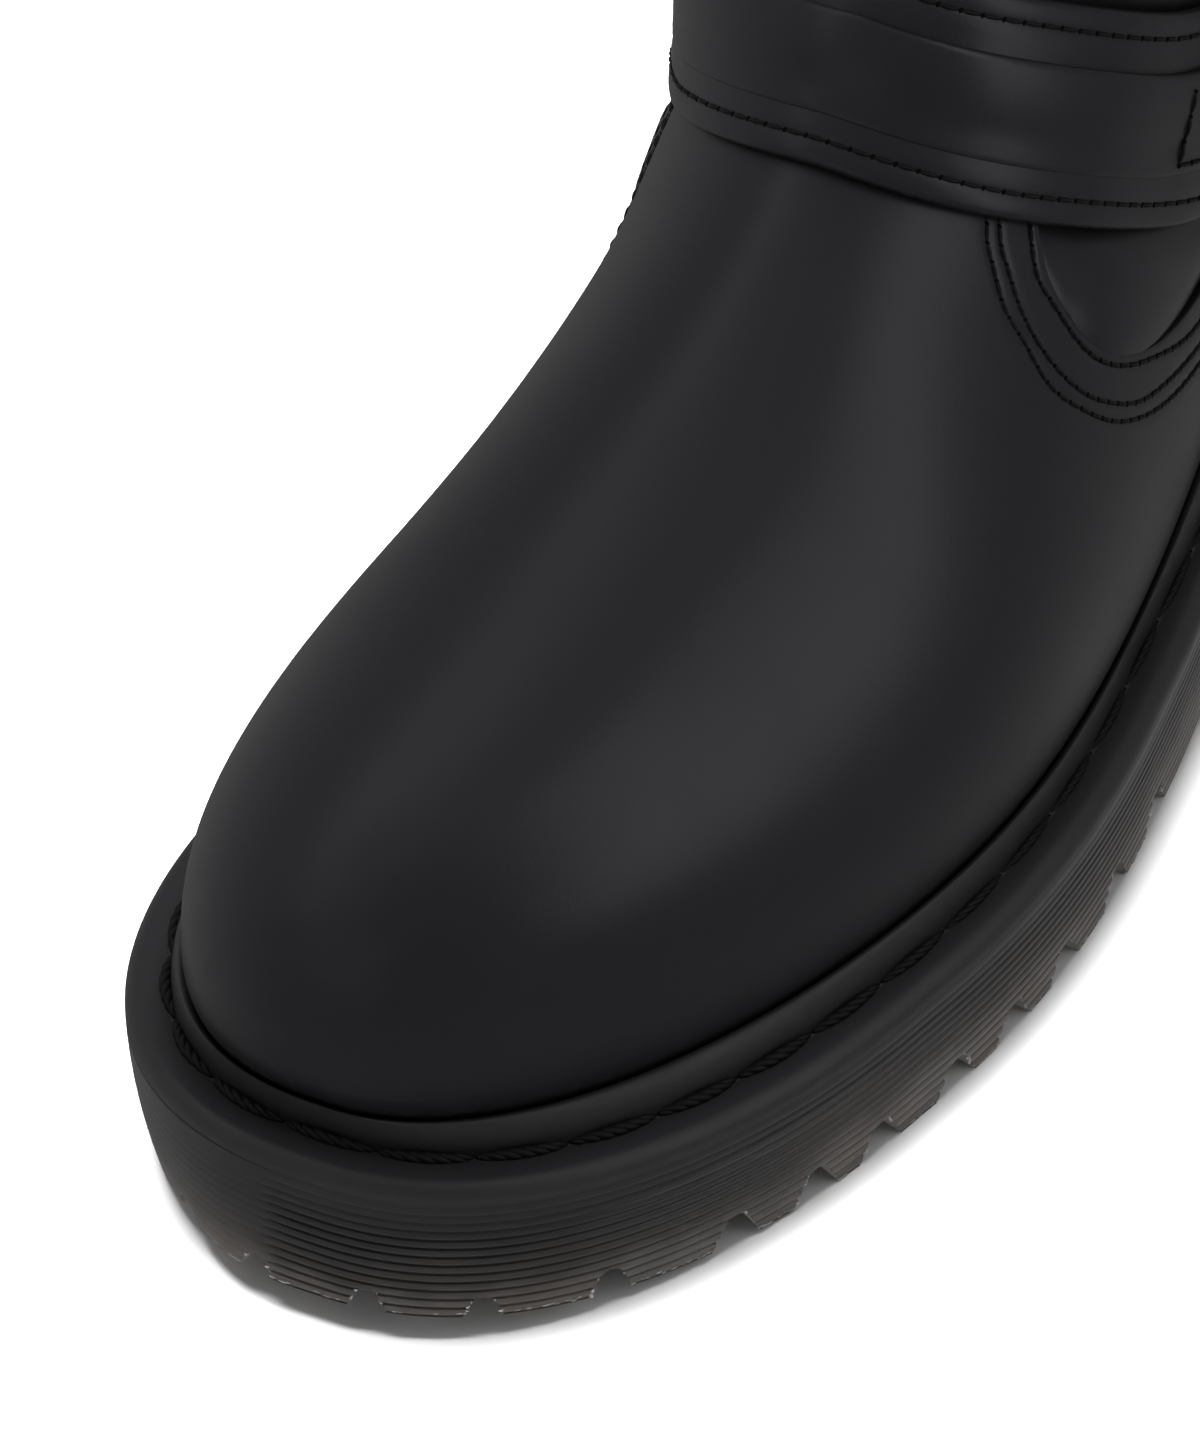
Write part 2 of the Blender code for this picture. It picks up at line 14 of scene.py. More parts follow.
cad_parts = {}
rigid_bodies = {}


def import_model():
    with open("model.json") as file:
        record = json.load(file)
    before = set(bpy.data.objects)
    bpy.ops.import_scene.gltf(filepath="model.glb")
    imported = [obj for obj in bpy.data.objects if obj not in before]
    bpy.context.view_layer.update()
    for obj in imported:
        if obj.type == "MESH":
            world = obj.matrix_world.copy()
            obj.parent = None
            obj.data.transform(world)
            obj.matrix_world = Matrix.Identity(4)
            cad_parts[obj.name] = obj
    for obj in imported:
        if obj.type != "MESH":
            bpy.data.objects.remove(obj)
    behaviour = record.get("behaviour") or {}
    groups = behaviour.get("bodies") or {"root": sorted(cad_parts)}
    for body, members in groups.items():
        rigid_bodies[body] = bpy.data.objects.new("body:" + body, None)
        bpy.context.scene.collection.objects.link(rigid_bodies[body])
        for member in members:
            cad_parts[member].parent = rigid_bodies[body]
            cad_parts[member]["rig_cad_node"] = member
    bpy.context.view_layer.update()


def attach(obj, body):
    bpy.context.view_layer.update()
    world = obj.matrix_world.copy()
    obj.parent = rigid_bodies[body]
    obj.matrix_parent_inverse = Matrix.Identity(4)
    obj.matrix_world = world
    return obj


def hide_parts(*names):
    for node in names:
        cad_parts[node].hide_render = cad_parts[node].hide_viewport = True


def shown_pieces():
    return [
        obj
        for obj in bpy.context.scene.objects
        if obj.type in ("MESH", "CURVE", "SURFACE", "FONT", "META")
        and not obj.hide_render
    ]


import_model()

MM = 0.001
ORIGIN = np.array((150.363, -1.375, 0.0))

GAP = 0.3
WALL = 2.8
SHAFT_STEP = 1.2
FLANGE = 3.2
RIB_ZONE = 22.0
RIBS = 13
RIB_DEPTH = 0.42
WALL_DRAFT = 1.0
INSOLE = 3.0

SEAT_FORE = 25.5
HEEL_RISE = 16.0
HEEL_FLAT_END = 45.0
WAIST_END = 165.0
SPRING_START = 235.0
SPRING_END = 300.0
TOE_SPRING = 6.2

TOE_TIP = 290.0
TOE_NOSE = 41.0
STATIONS = 11

# One section of the last in each row. The ridge is its front or top, the base its back or
# bottom; widest is where between them the lateral and medial half widths lie.
SECTION_COLUMNS = ("ridge_x", "ridge_z", "base_x", "base_z",
                   "lateral", "medial", "centre", "widest", "top_power", "foot_power")
SECTIONS = {
    "collar": (113, 260.0, 6, 256.0, 48.0, 46.0, 0.0, 0.50, 2.10, 2.2),
    "shaft": (110, 216.0, 7, 204.0, 45.0, 43.5, 0.0, 0.50, 2.10, 2.2),
    "ankle": (113, 176.0, 12.5, 152.0, 41.0, 40.0, 0.0, 0.50, 2.10, 2.2),
    "bend": (124, 143.0, 12.5, 108.0, 39.5, 38.5, 0.0, 0.48, 2.10, 2.3),
    "heel": (138, 122.0, 8.5, 66.0, 37.0, 36.0, 0.0, 0.45, 2.10, 2.3),
    "seat": (150, 110.3, 24, 28.0, 36.5, 34.5, 0.0, 0.41, 2.10, 2.3),
    "waist": (162, 101.8, 78, 21.0, 40.5, 35.5, 0.0, 0.36, 2.10, 2.3),
    "instep": (176, 95.6, 128, 18.0, 45.3, 36.7, 0.0, 0.31, 2.10, 2.5),
    "ball": (196, 88.4, 182, 17.0, 48.3, 39.5, -0.6, 0.29, 2.15, 2.7),
    "vamp": (222, 81.0, 222, 17.0, 47.8, 41.8, -4.3, 0.30, 2.20, 2.7),
    "toe": (252, 78.0, 252, 17.5, 47.3, 42.6, -9.1, 0.33, 2.25, 2.7),
    "tip": (TOE_TIP, 81.0, TOE_TIP, 21.0, 46.8, 44.0, -14.3, 0.36, 2.30, 2.6),
}

# Where the toe begins to round and how full it is: start x and power.
TOE_ROUND = {
    "lateral": (180.0, 2.05),
    "medial": (214.5, 2.33),
    "top": (214.0, 2.5),
    "foot": (240.0, 2.3),
}

# Rear edge of the vamp and the row line above it that turns into the heel:
# share of the half girth, station of the edge, station of the line above.
VAMP_EDGE = {
    "front": (0.00, 4.45, 3.90),
    "under_strap": (0.20, 4.60, 4.00),
    "strap_middle": (0.30, 5.20, 4.20),
    "strap_edge": (0.351, 6.03, 4.26),
    "left": (0.371, 6.29, 4.29),
    "fall": (0.403, 6.47, 4.32),
    "turn_in": (0.448, 6.60, 4.36),
    "low_point": (0.50, 6.64, 4.40),
    "turn": (0.60, 6.46, 4.48),
    "side": (0.67, 6.13, 4.55),
    "waist": (0.73, 5.80, 4.57),
    "quarter": (0.85, 5.60, 4.57),
    "foot": (1.00, 5.45, 4.57),
}

# Rows of stitches round the vamp's edge: share of the half girth and station at each place.
OUTER_ROW = {
    "under_strap": (0.262, 5.80),
    "strap_edge": (0.268, 6.07),
    "left": (0.283, 6.35),
    "fall": (0.315, 6.65),
    "turn_in": (0.361, 6.85),
    "low_left": (0.403, 6.99),
    "low": (0.475, 7.04),
    "low_right": (0.547, 6.99),
    "turn_out": (0.591, 6.91),
    "side": (0.647, 6.75),
    "waist": (0.699, 6.53),
    "quarter": (0.760, 6.22),
    "rear": (0.860, 5.96),
    "foot": (0.985, 5.77),
}
SECOND_ROW = {
    "under_strap": (0.280, 5.80),
    "strap_edge": (0.288, 6.07),
    "left": (0.307, 6.35),
    "fall": (0.339, 6.61),
    "turn_in": (0.376, 6.79),
    "low_left": (0.432, 6.92),
    "low": (0.490, 6.95),
    "low_right": (0.544, 6.90),
    "turn_out": (0.593, 6.81),
    "side": (0.634, 6.67),
    "waist": (0.686, 6.45),
    "quarter": (0.755, 6.12),
    "rear": (0.860, 5.88),
    "foot": (0.985, 5.70),
}
INNER_ROW = {
    "under_strap": (0.322, 5.75),
    "strap_edge": (0.336, 6.03),
    "left": (0.352, 6.29),
    "fall": (0.384, 6.49),
    "turn_in": (0.436, 6.66),
    "low": (0.483, 6.73),
    "low_right": (0.527, 6.71),
    "turn_out": (0.567, 6.64),
    "side": (0.612, 6.53),
    "waist": (0.673, 6.34),
    "quarter": (0.740, 5.97),
    "rear": (0.860, 5.72),
    "foot": (0.985, 5.56),
}

# Rim of the sole beyond the foot of the upper: x, lateral, medial.
RIM_MARGIN = {
    "heel": (0.0, 8.5, 8.5),
    "heel_side": (60.0, 7.0, 7.0),
    "waist": (110.0, 8.6, 7.4),
    "joint": (155.0, 10.6, 8.6),
    "ball": (225.0, 10.8, 10.0),
    "toe": (283.0, 13.3, 13.3),
    "tip": (320.0, 13.3, 13.3),
}

# Notches between the lugs: distance of each root from the toe tip along the rim.
LATERAL_NOTCHES = (7.7, 23.7, 41.9, 61.9, 76.1, 88.5, 104.1, 117.1, 130.4, 146.6, 162.1)
MEDIAL_NOTCHES = (8.7, 24.0, 42.0, 60.0, 75.0, 90.0, 105.0, 120.0, 135.0)
NOTCH_ROOF = 2.6
NOTCH_REACH = 12.0

HEEL_BREAST = 88.0
HEEL_RIBS = 7
HEEL_DRAFT = 0.8
HEEL_NOTCHES = (30.0, 50.0, 68.0)

# Broad strap round the ankle: angle from the ridge, stations of its lower and upper edge.
BASE_STRAP = {
    "front": (0.00, 6.07, 4.15),
    "front_side": (0.50, 6.07, 4.28),
    "side": (0.85, 5.95, 4.45),
    "box_stitch": (1.10, 5.86, 4.52),
    "before_ring": (1.25, 5.78, 4.43),
    "ring": (1.40, 5.60, 4.33),
    "after_ring": (1.57, 5.25, 4.14),
    "quarter": (1.72, 4.90, 4.02),
    "heel_side": (2.05, 4.50, 3.70),
    "heel": (2.50, 4.20, 3.42),
    "back": (3.1416, 4.05, 3.29),
    "past_back": (3.7832, 4.20, 3.42),
}
STRAP_GAP = 0.15
STRAP_THICK = 1.8
TOP_STRAP_GAP = 0.5
STRAP_DROP = (0.75, 0.35)
MEDIAL_DROP_SHIFT = 0.30
MEDIAL_RAISE = 0.10
STAND_OFF = 2.0
LEAN = 4.6
TOP_STRAP = (0.24, 0.72)
RING_ANGLE = 1.42
RING_RADIUS = 14.0
RING_WIRE = 2.1
RING_CLEAR = 0.9


def smooth_curve(places, values):
    """Natural cubic curve through the values."""
    places = np.asarray(places, float)
    values = np.asarray(values, float)
    count = len(places)
    step = np.diff(places)
    matrix = np.eye(count)
    right = np.zeros(count)
    for i in range(1, count - 1):
        matrix[i, i - 1:i + 2] = (step[i - 1], 2 * (step[i - 1] + step[i]), step[i])
        slope_in = (values[i] - values[i - 1]) / step[i - 1]
        slope_out = (values[i + 1] - values[i]) / step[i]
        right[i] = 6 * (slope_out - slope_in)
    bend = np.linalg.solve(matrix, right)

    def curve(at):
        at = np.asarray(at, float)
        i = np.clip(np.searchsorted(places, at) - 1, 0, count - 2)
        ahead = places[i + 1] - at
        behind = at - places[i]
        h = step[i]
        cubic = (bend[i] * ahead ** 3 + bend[i + 1] * behind ** 3) / (6 * h)
        low = (values[i] / h - bend[i] * h / 6) * ahead
        high = (values[i + 1] / h - bend[i + 1] * h / 6) * behind
        return cubic + low + high

    return curve


def column_curves(table, names):
    """A smooth curve over the row number for each named column."""
    rows = list(table.values())
    places = np.arange(len(rows))
    return {name: smooth_curve(places, [row[i] for row in rows])
            for i, name in enumerate(names)}


def table_curve(table, column):
    """One column of a table as a smooth curve of its first column."""
    rows = list(table.values())
    return smooth_curve([row[0] for row in rows], [row[column] for row in rows])


SECTION = column_curves(SECTIONS, SECTION_COLUMNS)
EDGE_STATION = table_curve(VAMP_EDGE, 1)
HEEL_STATION = table_curve(VAMP_EDGE, 2)
STRAP_LOWER = table_curve(BASE_STRAP, 1)
STRAP_UPPER = table_curve(BASE_STRAP, 2)


def ease(u):
    u = np.clip(u, 0.0, 1.0)
    return u * u * (3 - 2 * u)


def seat(x):
    """Height of the plane on which the upper stands: heel rise, flat forefoot, toe spring."""
    rise = HEEL_RISE * ease((WAIST_END - x) / (WAIST_END - HEEL_FLAT_END))
    spring = TOE_SPRING * np.clip((x - SPRING_START) / (SPRING_END - SPRING_START), 0, 2) ** 2
    return SEAT_FORE + rise + spring


def toe_round(side, x):
    start, power = TOE_ROUND[side]
    u = np.clip((x - start) / (TOE_TIP - start), 0.0, 1.0)
    return (1 - u ** power) ** (1 / power)


MEDIAL_FULL = 2.6


def medial_fullness(station, turn):
    """How far the medial instep stands out beyond its section under and below the strap."""
    along = ease((station - 2.8) / 1.6) * ease((7.1 - station) / 1.3)
    return MEDIAL_FULL * along * np.exp(-((turn - 1.1) / 0.55) ** 2)


def last_point(station, angle):
    """Point of the last: angle 0 on the ridge, pi on the base, positive on the lateral side."""
    station, angle = np.broadcast_arrays(np.asarray(station, float), np.asarray(angle, float))
    row = {name: curve(station) for name, curve in SECTION.items()}
    ridge_x = row["ridge_x"]
    base_x = row["base_x"]
    top_round = toe_round("top", ridge_x)
    foot_round = toe_round("foot", base_x)
    ridge_z = TOE_NOSE + (row["ridge_z"] - TOE_NOSE) * top_round
    base_z = TOE_NOSE - (TOE_NOSE - row["base_z"]) * foot_round
    lateral = row["lateral"] * toe_round("lateral", ridge_x)
    medial = row["medial"] * toe_round("medial", ridge_x)
    turn = np.abs(angle)
    above = turn <= np.pi / 2
    power = 2 / np.where(above, row["top_power"], row["foot_power"])
    out = np.maximum(np.sin(np.minimum(turn, np.pi)), 0.0) ** power
    along = np.abs(np.cos(turn)) ** power
    widest = row["widest"]
    share = np.where(above, widest + (1 - widest) * along, widest - widest * along)
    x = base_x + share * (ridge_x - base_x)
    medial_out = -medial * out - medial_fullness(station, turn)
    y = row["centre"] + np.where(angle >= 0, lateral * out, medial_out)
    z = base_z + share * (ridge_z - base_z)
    return np.stack([x, y, z], axis=-1)


def foot_angle(station, side, lift=0.0):
    """Angle at which a section reaches the seat, or pi where it closes above it."""
    station = np.asarray(station, float)
    low = np.full(station.shape, 0.2)
    high = np.full(station.shape, np.pi)
    for _ in range(34):
        middle = (low + high) / 2
        point = last_point(station, side * middle)
        over = point[..., 2] > seat(point[..., 0]) + lift
        low = np.where(over, middle, low)
        high = np.where(over, high, middle)
    return (low + high) / 2


def base_crossing(low, high, lift):
    """Station between low and high whose base point lies on the seat."""
    def above(station):
        point = last_point(station, np.pi)
        return point[2] > seat(point[0]) + lift
    falls = above(low)
    for _ in range(44):
        middle = (low + high) / 2
        if above(middle) == falls:
            low = middle
        else:
            high = middle
    return (low + high) / 2


def last_normal(station, angle):
    """Outward direction of the last."""
    step = 0.004
    station = np.clip(station, step, STATIONS - 3 * step)
    closed = np.abs(angle) > np.pi - 1e-6
    angle = np.clip(angle, -np.pi + 2 * step, np.pi - 2 * step)
    along = last_point(station + step, angle) - last_point(station - step, angle)
    around = last_point(station, angle + step) - last_point(station, angle - step)
    normal = np.cross(along, around)
    normal[..., 1] = np.where(closed, 0.0, normal[..., 1])
    return normal / np.linalg.norm(normal, axis=-1, keepdims=True)


def skin(station, angle, lift=0.0):
    """Point off the upper's outer face."""
    station, angle, lift = np.broadcast_arrays(station, angle, lift)
    return last_point(station, angle) + last_normal(station, angle) * lift[..., None]


def foot_line(lift=0.0, count=900):
    """The line where the upper meets the seat, from the back round the lateral side."""
    first = base_crossing(4.0, 6.0, lift)
    last = base_crossing(10.0, 11.0, lift)
    u = np.linspace(0, 1, count)
    station = first + (last - first) * np.sin(u * np.pi / 2) ** 2
    lateral = last_point(station, foot_angle(station, 1.0, lift))
    medial = last_point(station, -foot_angle(station, -1.0, lift))
    return np.concatenate([lateral, medial[-2:0:-1]])


def offset_outward(line, distance):
    """Move a closed plan line outward by a distance at each point."""
    along = np.roll(line, -1, axis=0) - np.roll(line, 1, axis=0)
    length = np.hypot(along[:, 0], along[:, 1])
    moved = line.copy()
    moved[:, 0] -= along[:, 1] / length * distance
    moved[:, 1] += along[:, 0] / length * distance
    return moved


def rim_margin(line):
    rows = np.array(list(RIM_MARGIN.values()))
    lateral = np.arange(len(line)) < len(line) / 2
    wide = np.interp(line[:, 0], rows[:, 0], rows[:, 1])
    narrow = np.interp(line[:, 0], rows[:, 0], rows[:, 2])
    return np.where(lateral, wide, narrow)


FOOT_LINE = foot_line()


def columns(line, half):
    """Resample a closed line to the same x on both sides: back, lateral, tip, medial."""
    back = line[:, 0].argmin()
    line = np.roll(line, -back, axis=0)
    tip = line[:, 0].argmax()
    share = (1 - np.cos(np.pi * np.linspace(0, 1, half + 1))) / 2
    x = line[0, 0] + (line[tip, 0] - line[0, 0]) * share
    one = np.interp(x, line[:tip + 1, 0], line[:tip + 1, 1])
    other_line = np.concatenate([line[tip:], line[:1]])[::-1]
    other = np.interp(x, other_line[:, 0], other_line[:, 1])
    lateral = np.stack([x, one], axis=-1)
    medial = np.stack([x, other], axis=-1)
    return np.concatenate([lateral, medial[-2:0:-1]])


def rim(half, inset=0.0):
    return columns(offset_outward(FOOT_LINE, rim_margin(FOOT_LINE) - inset), half)


def with_heights(plan, heights):
    return np.column_stack([plan[:, 0], plan[:, 1], heights])


def path_lengths(line):
    """Distance gone along a line at each of its points."""
    return np.concatenate([[0.0], np.cumsum(np.linalg.norm(np.diff(line, axis=0), axis=1))])


def along_path(at, gone, line):
    """Points of a line at the given distances along it."""
    return np.stack([np.interp(at, gone, column) for column in line.T], axis=-1)


def wrap(angle):
    return (np.asarray(angle) + np.pi) % (2 * np.pi) - np.pi


def strap_drop(angle):
    """How far the strap comes down where it leaves the vamp for the thinner quarter."""
    start, length = STRAP_DROP
    start = start + np.where(angle < 0, MEDIAL_DROP_SHIFT, 0.0)
    return SHAFT_STEP * ease((np.abs(angle) - start) / length)


def strap_stations(angle):
    """Stations of the strap's lower and upper edge; its medial side runs a little higher."""
    turn = np.abs(angle)
    raised = MEDIAL_RAISE * ease((-angle - 0.65) / 0.3) * ease((RING_ANGLE - turn) / 0.25)
    return STRAP_LOWER(turn) - raised, STRAP_UPPER(turn) - raised


def strap_edges(angle):
    """Points under the broad strap's lower and upper edge."""
    lift = STRAP_GAP - strap_drop(angle)
    front = ease((RING_ANGLE - np.abs(angle)) / 0.5)
    stand_off = STAND_OFF * (1 - 0.6 * ease((angle - 0.2) / 0.4))
    lean = front * (stand_off + LEAN * ease((-angle - 0.2) / 0.75))
    low, high = strap_stations(angle)
    return skin(low, angle, lift), skin(high, angle, lift + lean)


def strap_normal(angle):
    """Outward direction of the strap, the same all across it."""
    step = 0.02
    before = strap_edges(wrap(angle - step))
    after = strap_edges(wrap(angle + step))
    around = (after[0] + after[1]) - (before[0] + before[1])
    lower, upper = strap_edges(angle)
    normal = np.cross(around, upper - lower)
    return normal / np.linalg.norm(normal, axis=-1, keepdims=True)


def strap_clearance(angle):
    """How far the strap is moved out so that it lies clear of the leather under its middle."""
    lower, upper = strap_edges(angle)
    low, high = strap_stations(angle)
    normal = strap_normal(angle)
    need = np.zeros(np.shape(angle))
    for across in (0.2, 0.4, 0.6, 0.8):
        under = last_point(low + (high - low) * across, angle) - (lower + (upper - lower) * across)
        need = np.maximum(need, (under * normal).sum(axis=-1) - strap_drop(angle) + 0.2)
    return need


def evened(values, spread):
    """Values round a closed loop, each averaged with its neighbours."""
    shifts = range(-3 * spread, 3 * spread + 1)
    weights = np.array([math.exp(-(k / spread) ** 2) for k in shifts])
    stack = np.array([np.roll(values, k) for k in shifts])
    return weights @ stack / weights.sum()


CLEARANCE_ANGLES = np.linspace(-np.pi, np.pi, 361)
CLEARANCE = evened(strap_clearance(CLEARANCE_ANGLES[:-1]), 9)
CLEARANCE = np.append(CLEARANCE, CLEARANCE[0])


def strap_point(angle, across, lift):
    """Point over the broad strap's under face: across 0 at its lower edge, 1 at its upper edge."""
    angle, across, lift = np.broadcast_arrays(wrap(angle), across, lift)
    lower, upper = strap_edges(angle)
    out = lift + np.interp(angle, CLEARANCE_ANGLES, CLEARANCE)
    return lower + (upper - lower) * across[..., None] + strap_normal(angle) * out[..., None]


def add_object(name, data):
    made = bpy.data.objects.new(name, data)
    bpy.context.scene.collection.objects.link(made)
    return made


def make_piece(name, points, faces, materials, stands_for=(), face_materials=None):
    """One smooth-shaded piece in the frame, riding on the boot's one body."""
    mesh = bpy.data.meshes.new(name)
    moved = (np.asarray(points, float) - ORIGIN) * MM
    mesh.from_pydata(moved.tolist(), [], faces)
    for material in materials:
        mesh.materials.append(material)
    if face_materials is not None:
        mesh.polygons.foreach_set("material_index", np.asarray(face_materials, np.int32))
    mesh.polygons.foreach_set("use_smooth", np.ones(len(mesh.polygons), bool))
    mesh.validate()
    mesh.update()
    piece = add_object(name, mesh)
    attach(piece, "root")
    if stands_for:
        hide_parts(*stands_for)
    return piece


def grid_faces(rows, width, start=0, close=False):
    """Quads of a grid of points; close joins its last column to its first."""
    faces = []
    last = width if close else width - 1
    for i in range(rows - 1):
        low = start + i * width
        for j in range(last):
            k = (j + 1) % width
            faces.append((low + j, low + k, low + width + k, low + width + j))
    return faces


def ring_faces(rings, count, start=0, loop=False):
    """Quads between neighbouring closed rings."""
    faces = []
    for i in range(rings if loop else rings - 1):
        low = start + i * count
        high = start + (i + 1) % rings * count
        for j in range(count):
            k = (j + 1) % count
            faces.append((low + j, low + k, high + k, high + j))
    return faces


def principled(name, colour, rough, metal=0.0):
    material = bpy.data.materials.new(name)
    material.use_nodes = True
    shader = material.node_tree.nodes["Principled BSDF"]
    shader.inputs["Base Color"].default_value = (*colour, 1.0)
    shader.inputs["Roughness"].default_value = rough
    shader.inputs["Metallic"].default_value = metal
    return material, shader


def add_node(material, kind, **values):
    node = material.node_tree.nodes.new(kind)
    for name, value in values.items():
        node.inputs[name].default_value = value
    return node


def join(material, source, target):
    material.node_tree.links.new(source, target)


def object_place(material):
    return material.node_tree.nodes.new("ShaderNodeTexCoord").outputs["Object"]


def noise(material, place, scale, detail=2.0, rough=0.5):
    node = add_node(material, "ShaderNodeTexNoise", Scale=scale, Detail=detail, Roughness=rough)
    join(material, place, node.inputs["Vector"])
    return node.outputs["Fac"]


def map_range(tree, value, start, end, low=0.0, high=1.0):
    """Spread a value from start to end over low to high."""
    node = tree.nodes.new("ShaderNodeMapRange")
    limits = {"From Min": start, "From Max": end, "To Min": low, "To Max": high}
    for name, limit in limits.items():
        node.inputs[name].default_value = limit
    tree.links.new(value, node.inputs["Value"])
    return node.outputs["Result"]


def remap(material, noise_value, low, high):
    """Spread the middle half of a noise over low to high."""
    return map_range(material.node_tree, noise_value, 0.25, 0.75, low, high)


def bump(material, shader, height, strength, distance, below=None):
    node = add_node(material, "ShaderNodeBump", Strength=strength, Distance=distance)
    join(material, height, node.inputs["Height"])
    if below is not None:
        join(material, below, node.inputs["Normal"])
    join(material, node.outputs["Normal"], shader.inputs["Normal"])
    return node.outputs["Normal"]


def leather_material(name, colour, rough_low, rough_high, coat):
    """Smooth polished leather: fine pores, a little cloudiness in its gloss."""
    material, shader = principled(name, colour, rough_low)
    place = object_place(material)
    cloud = noise(material, place, 45.0, 3.0)
    join(material, remap(material, cloud, rough_low, rough_high), shader.inputs["Roughness"])
    pores = add_node(material, "ShaderNodeTexVoronoi", Scale=1500.0)
    join(material, place, pores.inputs["Vector"])
    grain = bump(material, shader, pores.outputs["Distance"], 0.10, 0.0001)
    fine = noise(material, place, 700.0, 3.0)
    bump(material, shader, fine, 0.08, 0.0002, grain)
    shader.inputs["Specular Tint"].default_value = (0.95, 0.96, 1.06, 1.0)
    shader.inputs["Coat Weight"].default_value = coat
    shader.inputs["Coat Roughness"].default_value = 0.25
    return material


def rubber_material(name, colour, rough):
    material, shader = principled(name, colour, rough)
    place = object_place(material)
    fine = noise(material, place, 900.0, 2.0)
    bump(material, shader, fine, 0.10, 0.0002)
    cloud = noise(material, place, 60.0, 3.0)
    join(material, remap(material, cloud, rough - 0.06, rough + 0.08), shader.inputs["Roughness"])
    return material


# Height in metres over which the painted light passing through the lugs fades, so the sole darkens
# towards the rim.
PAINTED_LIGHT_HEIGHT = 0.026


def smoke_and_painted_light_material():
    """Smoky translucent rubber with painted light passing through it: near black up under the rim,
    painted paler towards the bottom where the lugs thin out.
    """
    material, shader = principled("smoke_rubber_painted_light", (0.03, 0.027, 0.025), 0.35)
    place = object_place(material)
    split = add_node(material, "ShaderNodeSeparateXYZ")
    join(material, place, split.inputs["Vector"])
    height = map_range(material.node_tree, split.outputs["Z"], 0.0, PAINTED_LIGHT_HEIGHT)
    cloud = noise(material, place, 55.0, 4.0, 0.6)
    shift = add_node(material, "ShaderNodeMath")
    shift.operation = "MULTIPLY_ADD"
    shift.inputs[1].default_value = 0.5
    join(material, cloud, shift.inputs[0])
    lowered = add_node(material, "ShaderNodeMath")
    lowered.operation = "SUBTRACT"
    lowered.inputs[1].default_value = 0.25
    join(material, height, lowered.inputs[0])
    join(material, lowered.outputs["Value"], shift.inputs[2])
    # The ramp paints the light passing through the lugs: pale at the bottom, dark towards the rim; the
    # noise and brown patches are the rubber's own uneven tone.
    ramp = material.node_tree.nodes.new("ShaderNodeValToRGB")
    ramp.color_ramp.elements[0].color = (0.095, 0.088, 0.085, 1.0)
    ramp.color_ramp.elements[0].position = 0.05
    ramp.color_ramp.elements[1].color = (0.010, 0.0098, 0.0102, 1.0)
    ramp.color_ramp.elements[1].position = 0.75
    middle = ramp.color_ramp.elements.new(0.4)
    middle.color = (0.024, 0.0212, 0.020, 1.0)
    join(material, shift.outputs["Value"], ramp.inputs["Fac"])
    brown = material.node_tree.nodes.new("ShaderNodeMix")
    brown.data_type = "RGBA"
    brown.blend_type = "MULTIPLY"
    patches = remap(material, noise(material, place, 38.0, 1.0), 0.0, 1.0)
    join(material, patches, brown.inputs["Factor"])
    join(material, ramp.outputs["Color"], brown.inputs["A"])
    brown.inputs["B"].default_value = (1.0, 0.85, 0.74, 1.0)
    join(material, brown.outputs["Result"], shader.inputs["Base Color"])
    fine = noise(material, place, 800.0, 2.0)
    bump(material, shader, fine, 0.12, 0.0002)
    shader.inputs["Coat Weight"].default_value = 0.25
    shader.inputs["Coat Roughness"].default_value = 0.2
    return material


def thread_material():
    material, shader = principled("waxed_thread", (0.003, 0.003, 0.0034), 0.6)
    shader.inputs["Specular IOR Level"].default_value = 0.28
    fibre = noise(material, object_place(material), 2600.0, 2.0)
    bump(material, shader, fibre, 0.3, 0.0002)
    return material


def steel_material():
    material, shader = principled("polished_steel", (0.60, 0.60, 0.61), 0.22, 1.0)
    place = object_place(material)
    wear = noise(material, place, 400.0, 4.0)
    join(material, remap(material, wear, 0.16, 0.30), shader.inputs["Roughness"])
    return material


def lining_material():
    material, shader = principled("lining_leather", (0.06, 0.052, 0.045), 0.7)
    place = object_place(material)
    mottle = noise(material, place, 60.0, 4.0)
    ramp = material.node_tree.nodes.new("ShaderNodeValToRGB")
    ramp.color_ramp.elements[0].color = (0.045, 0.039, 0.034, 1.0)
    ramp.color_ramp.elements[1].color = (0.075, 0.066, 0.058, 1.0)
    join(material, mottle, ramp.inputs["Fac"])
    join(material, ramp.outputs["Color"], shader.inputs["Base Color"])
    nap = noise(material, place, 1400.0, 3.0)
    bump(material, shader, nap, 0.35, 0.0003)
    return material


LEATHER = leather_material("black_leather", (0.0058, 0.0058, 0.0066), 0.36, 0.44, 0.1)
STRAP_LEATHER = leather_material("strap_leather", (0.0058, 0.0058, 0.0066), 0.34, 0.42, 0.1)
RUBBER = rubber_material("black_rubber", (0.0135, 0.0133, 0.0148), 0.46)
SMOKE_AND_PAINTED_LIGHT = smoke_and_painted_light_material()
THREAD = thread_material()
STEEL = steel_material()
LINING = lining_material()
FLASH = principled("mould_flash", (0.34, 0.335, 0.335), 0.3)[0]
# Flat black for the vamp's cut edge, which also paints the shade along its step, and for low lenses
# that paint the shade inside needle holes.
SHADE_BLACK, SHADE_BLACK_SHADER = principled("black_cut_edge_and_painted_shade", (0.0015, 0.0015, 0.0015), 0.9)
SHADE_BLACK_SHADER.inputs["Specular IOR Level"].default_value = 0.1


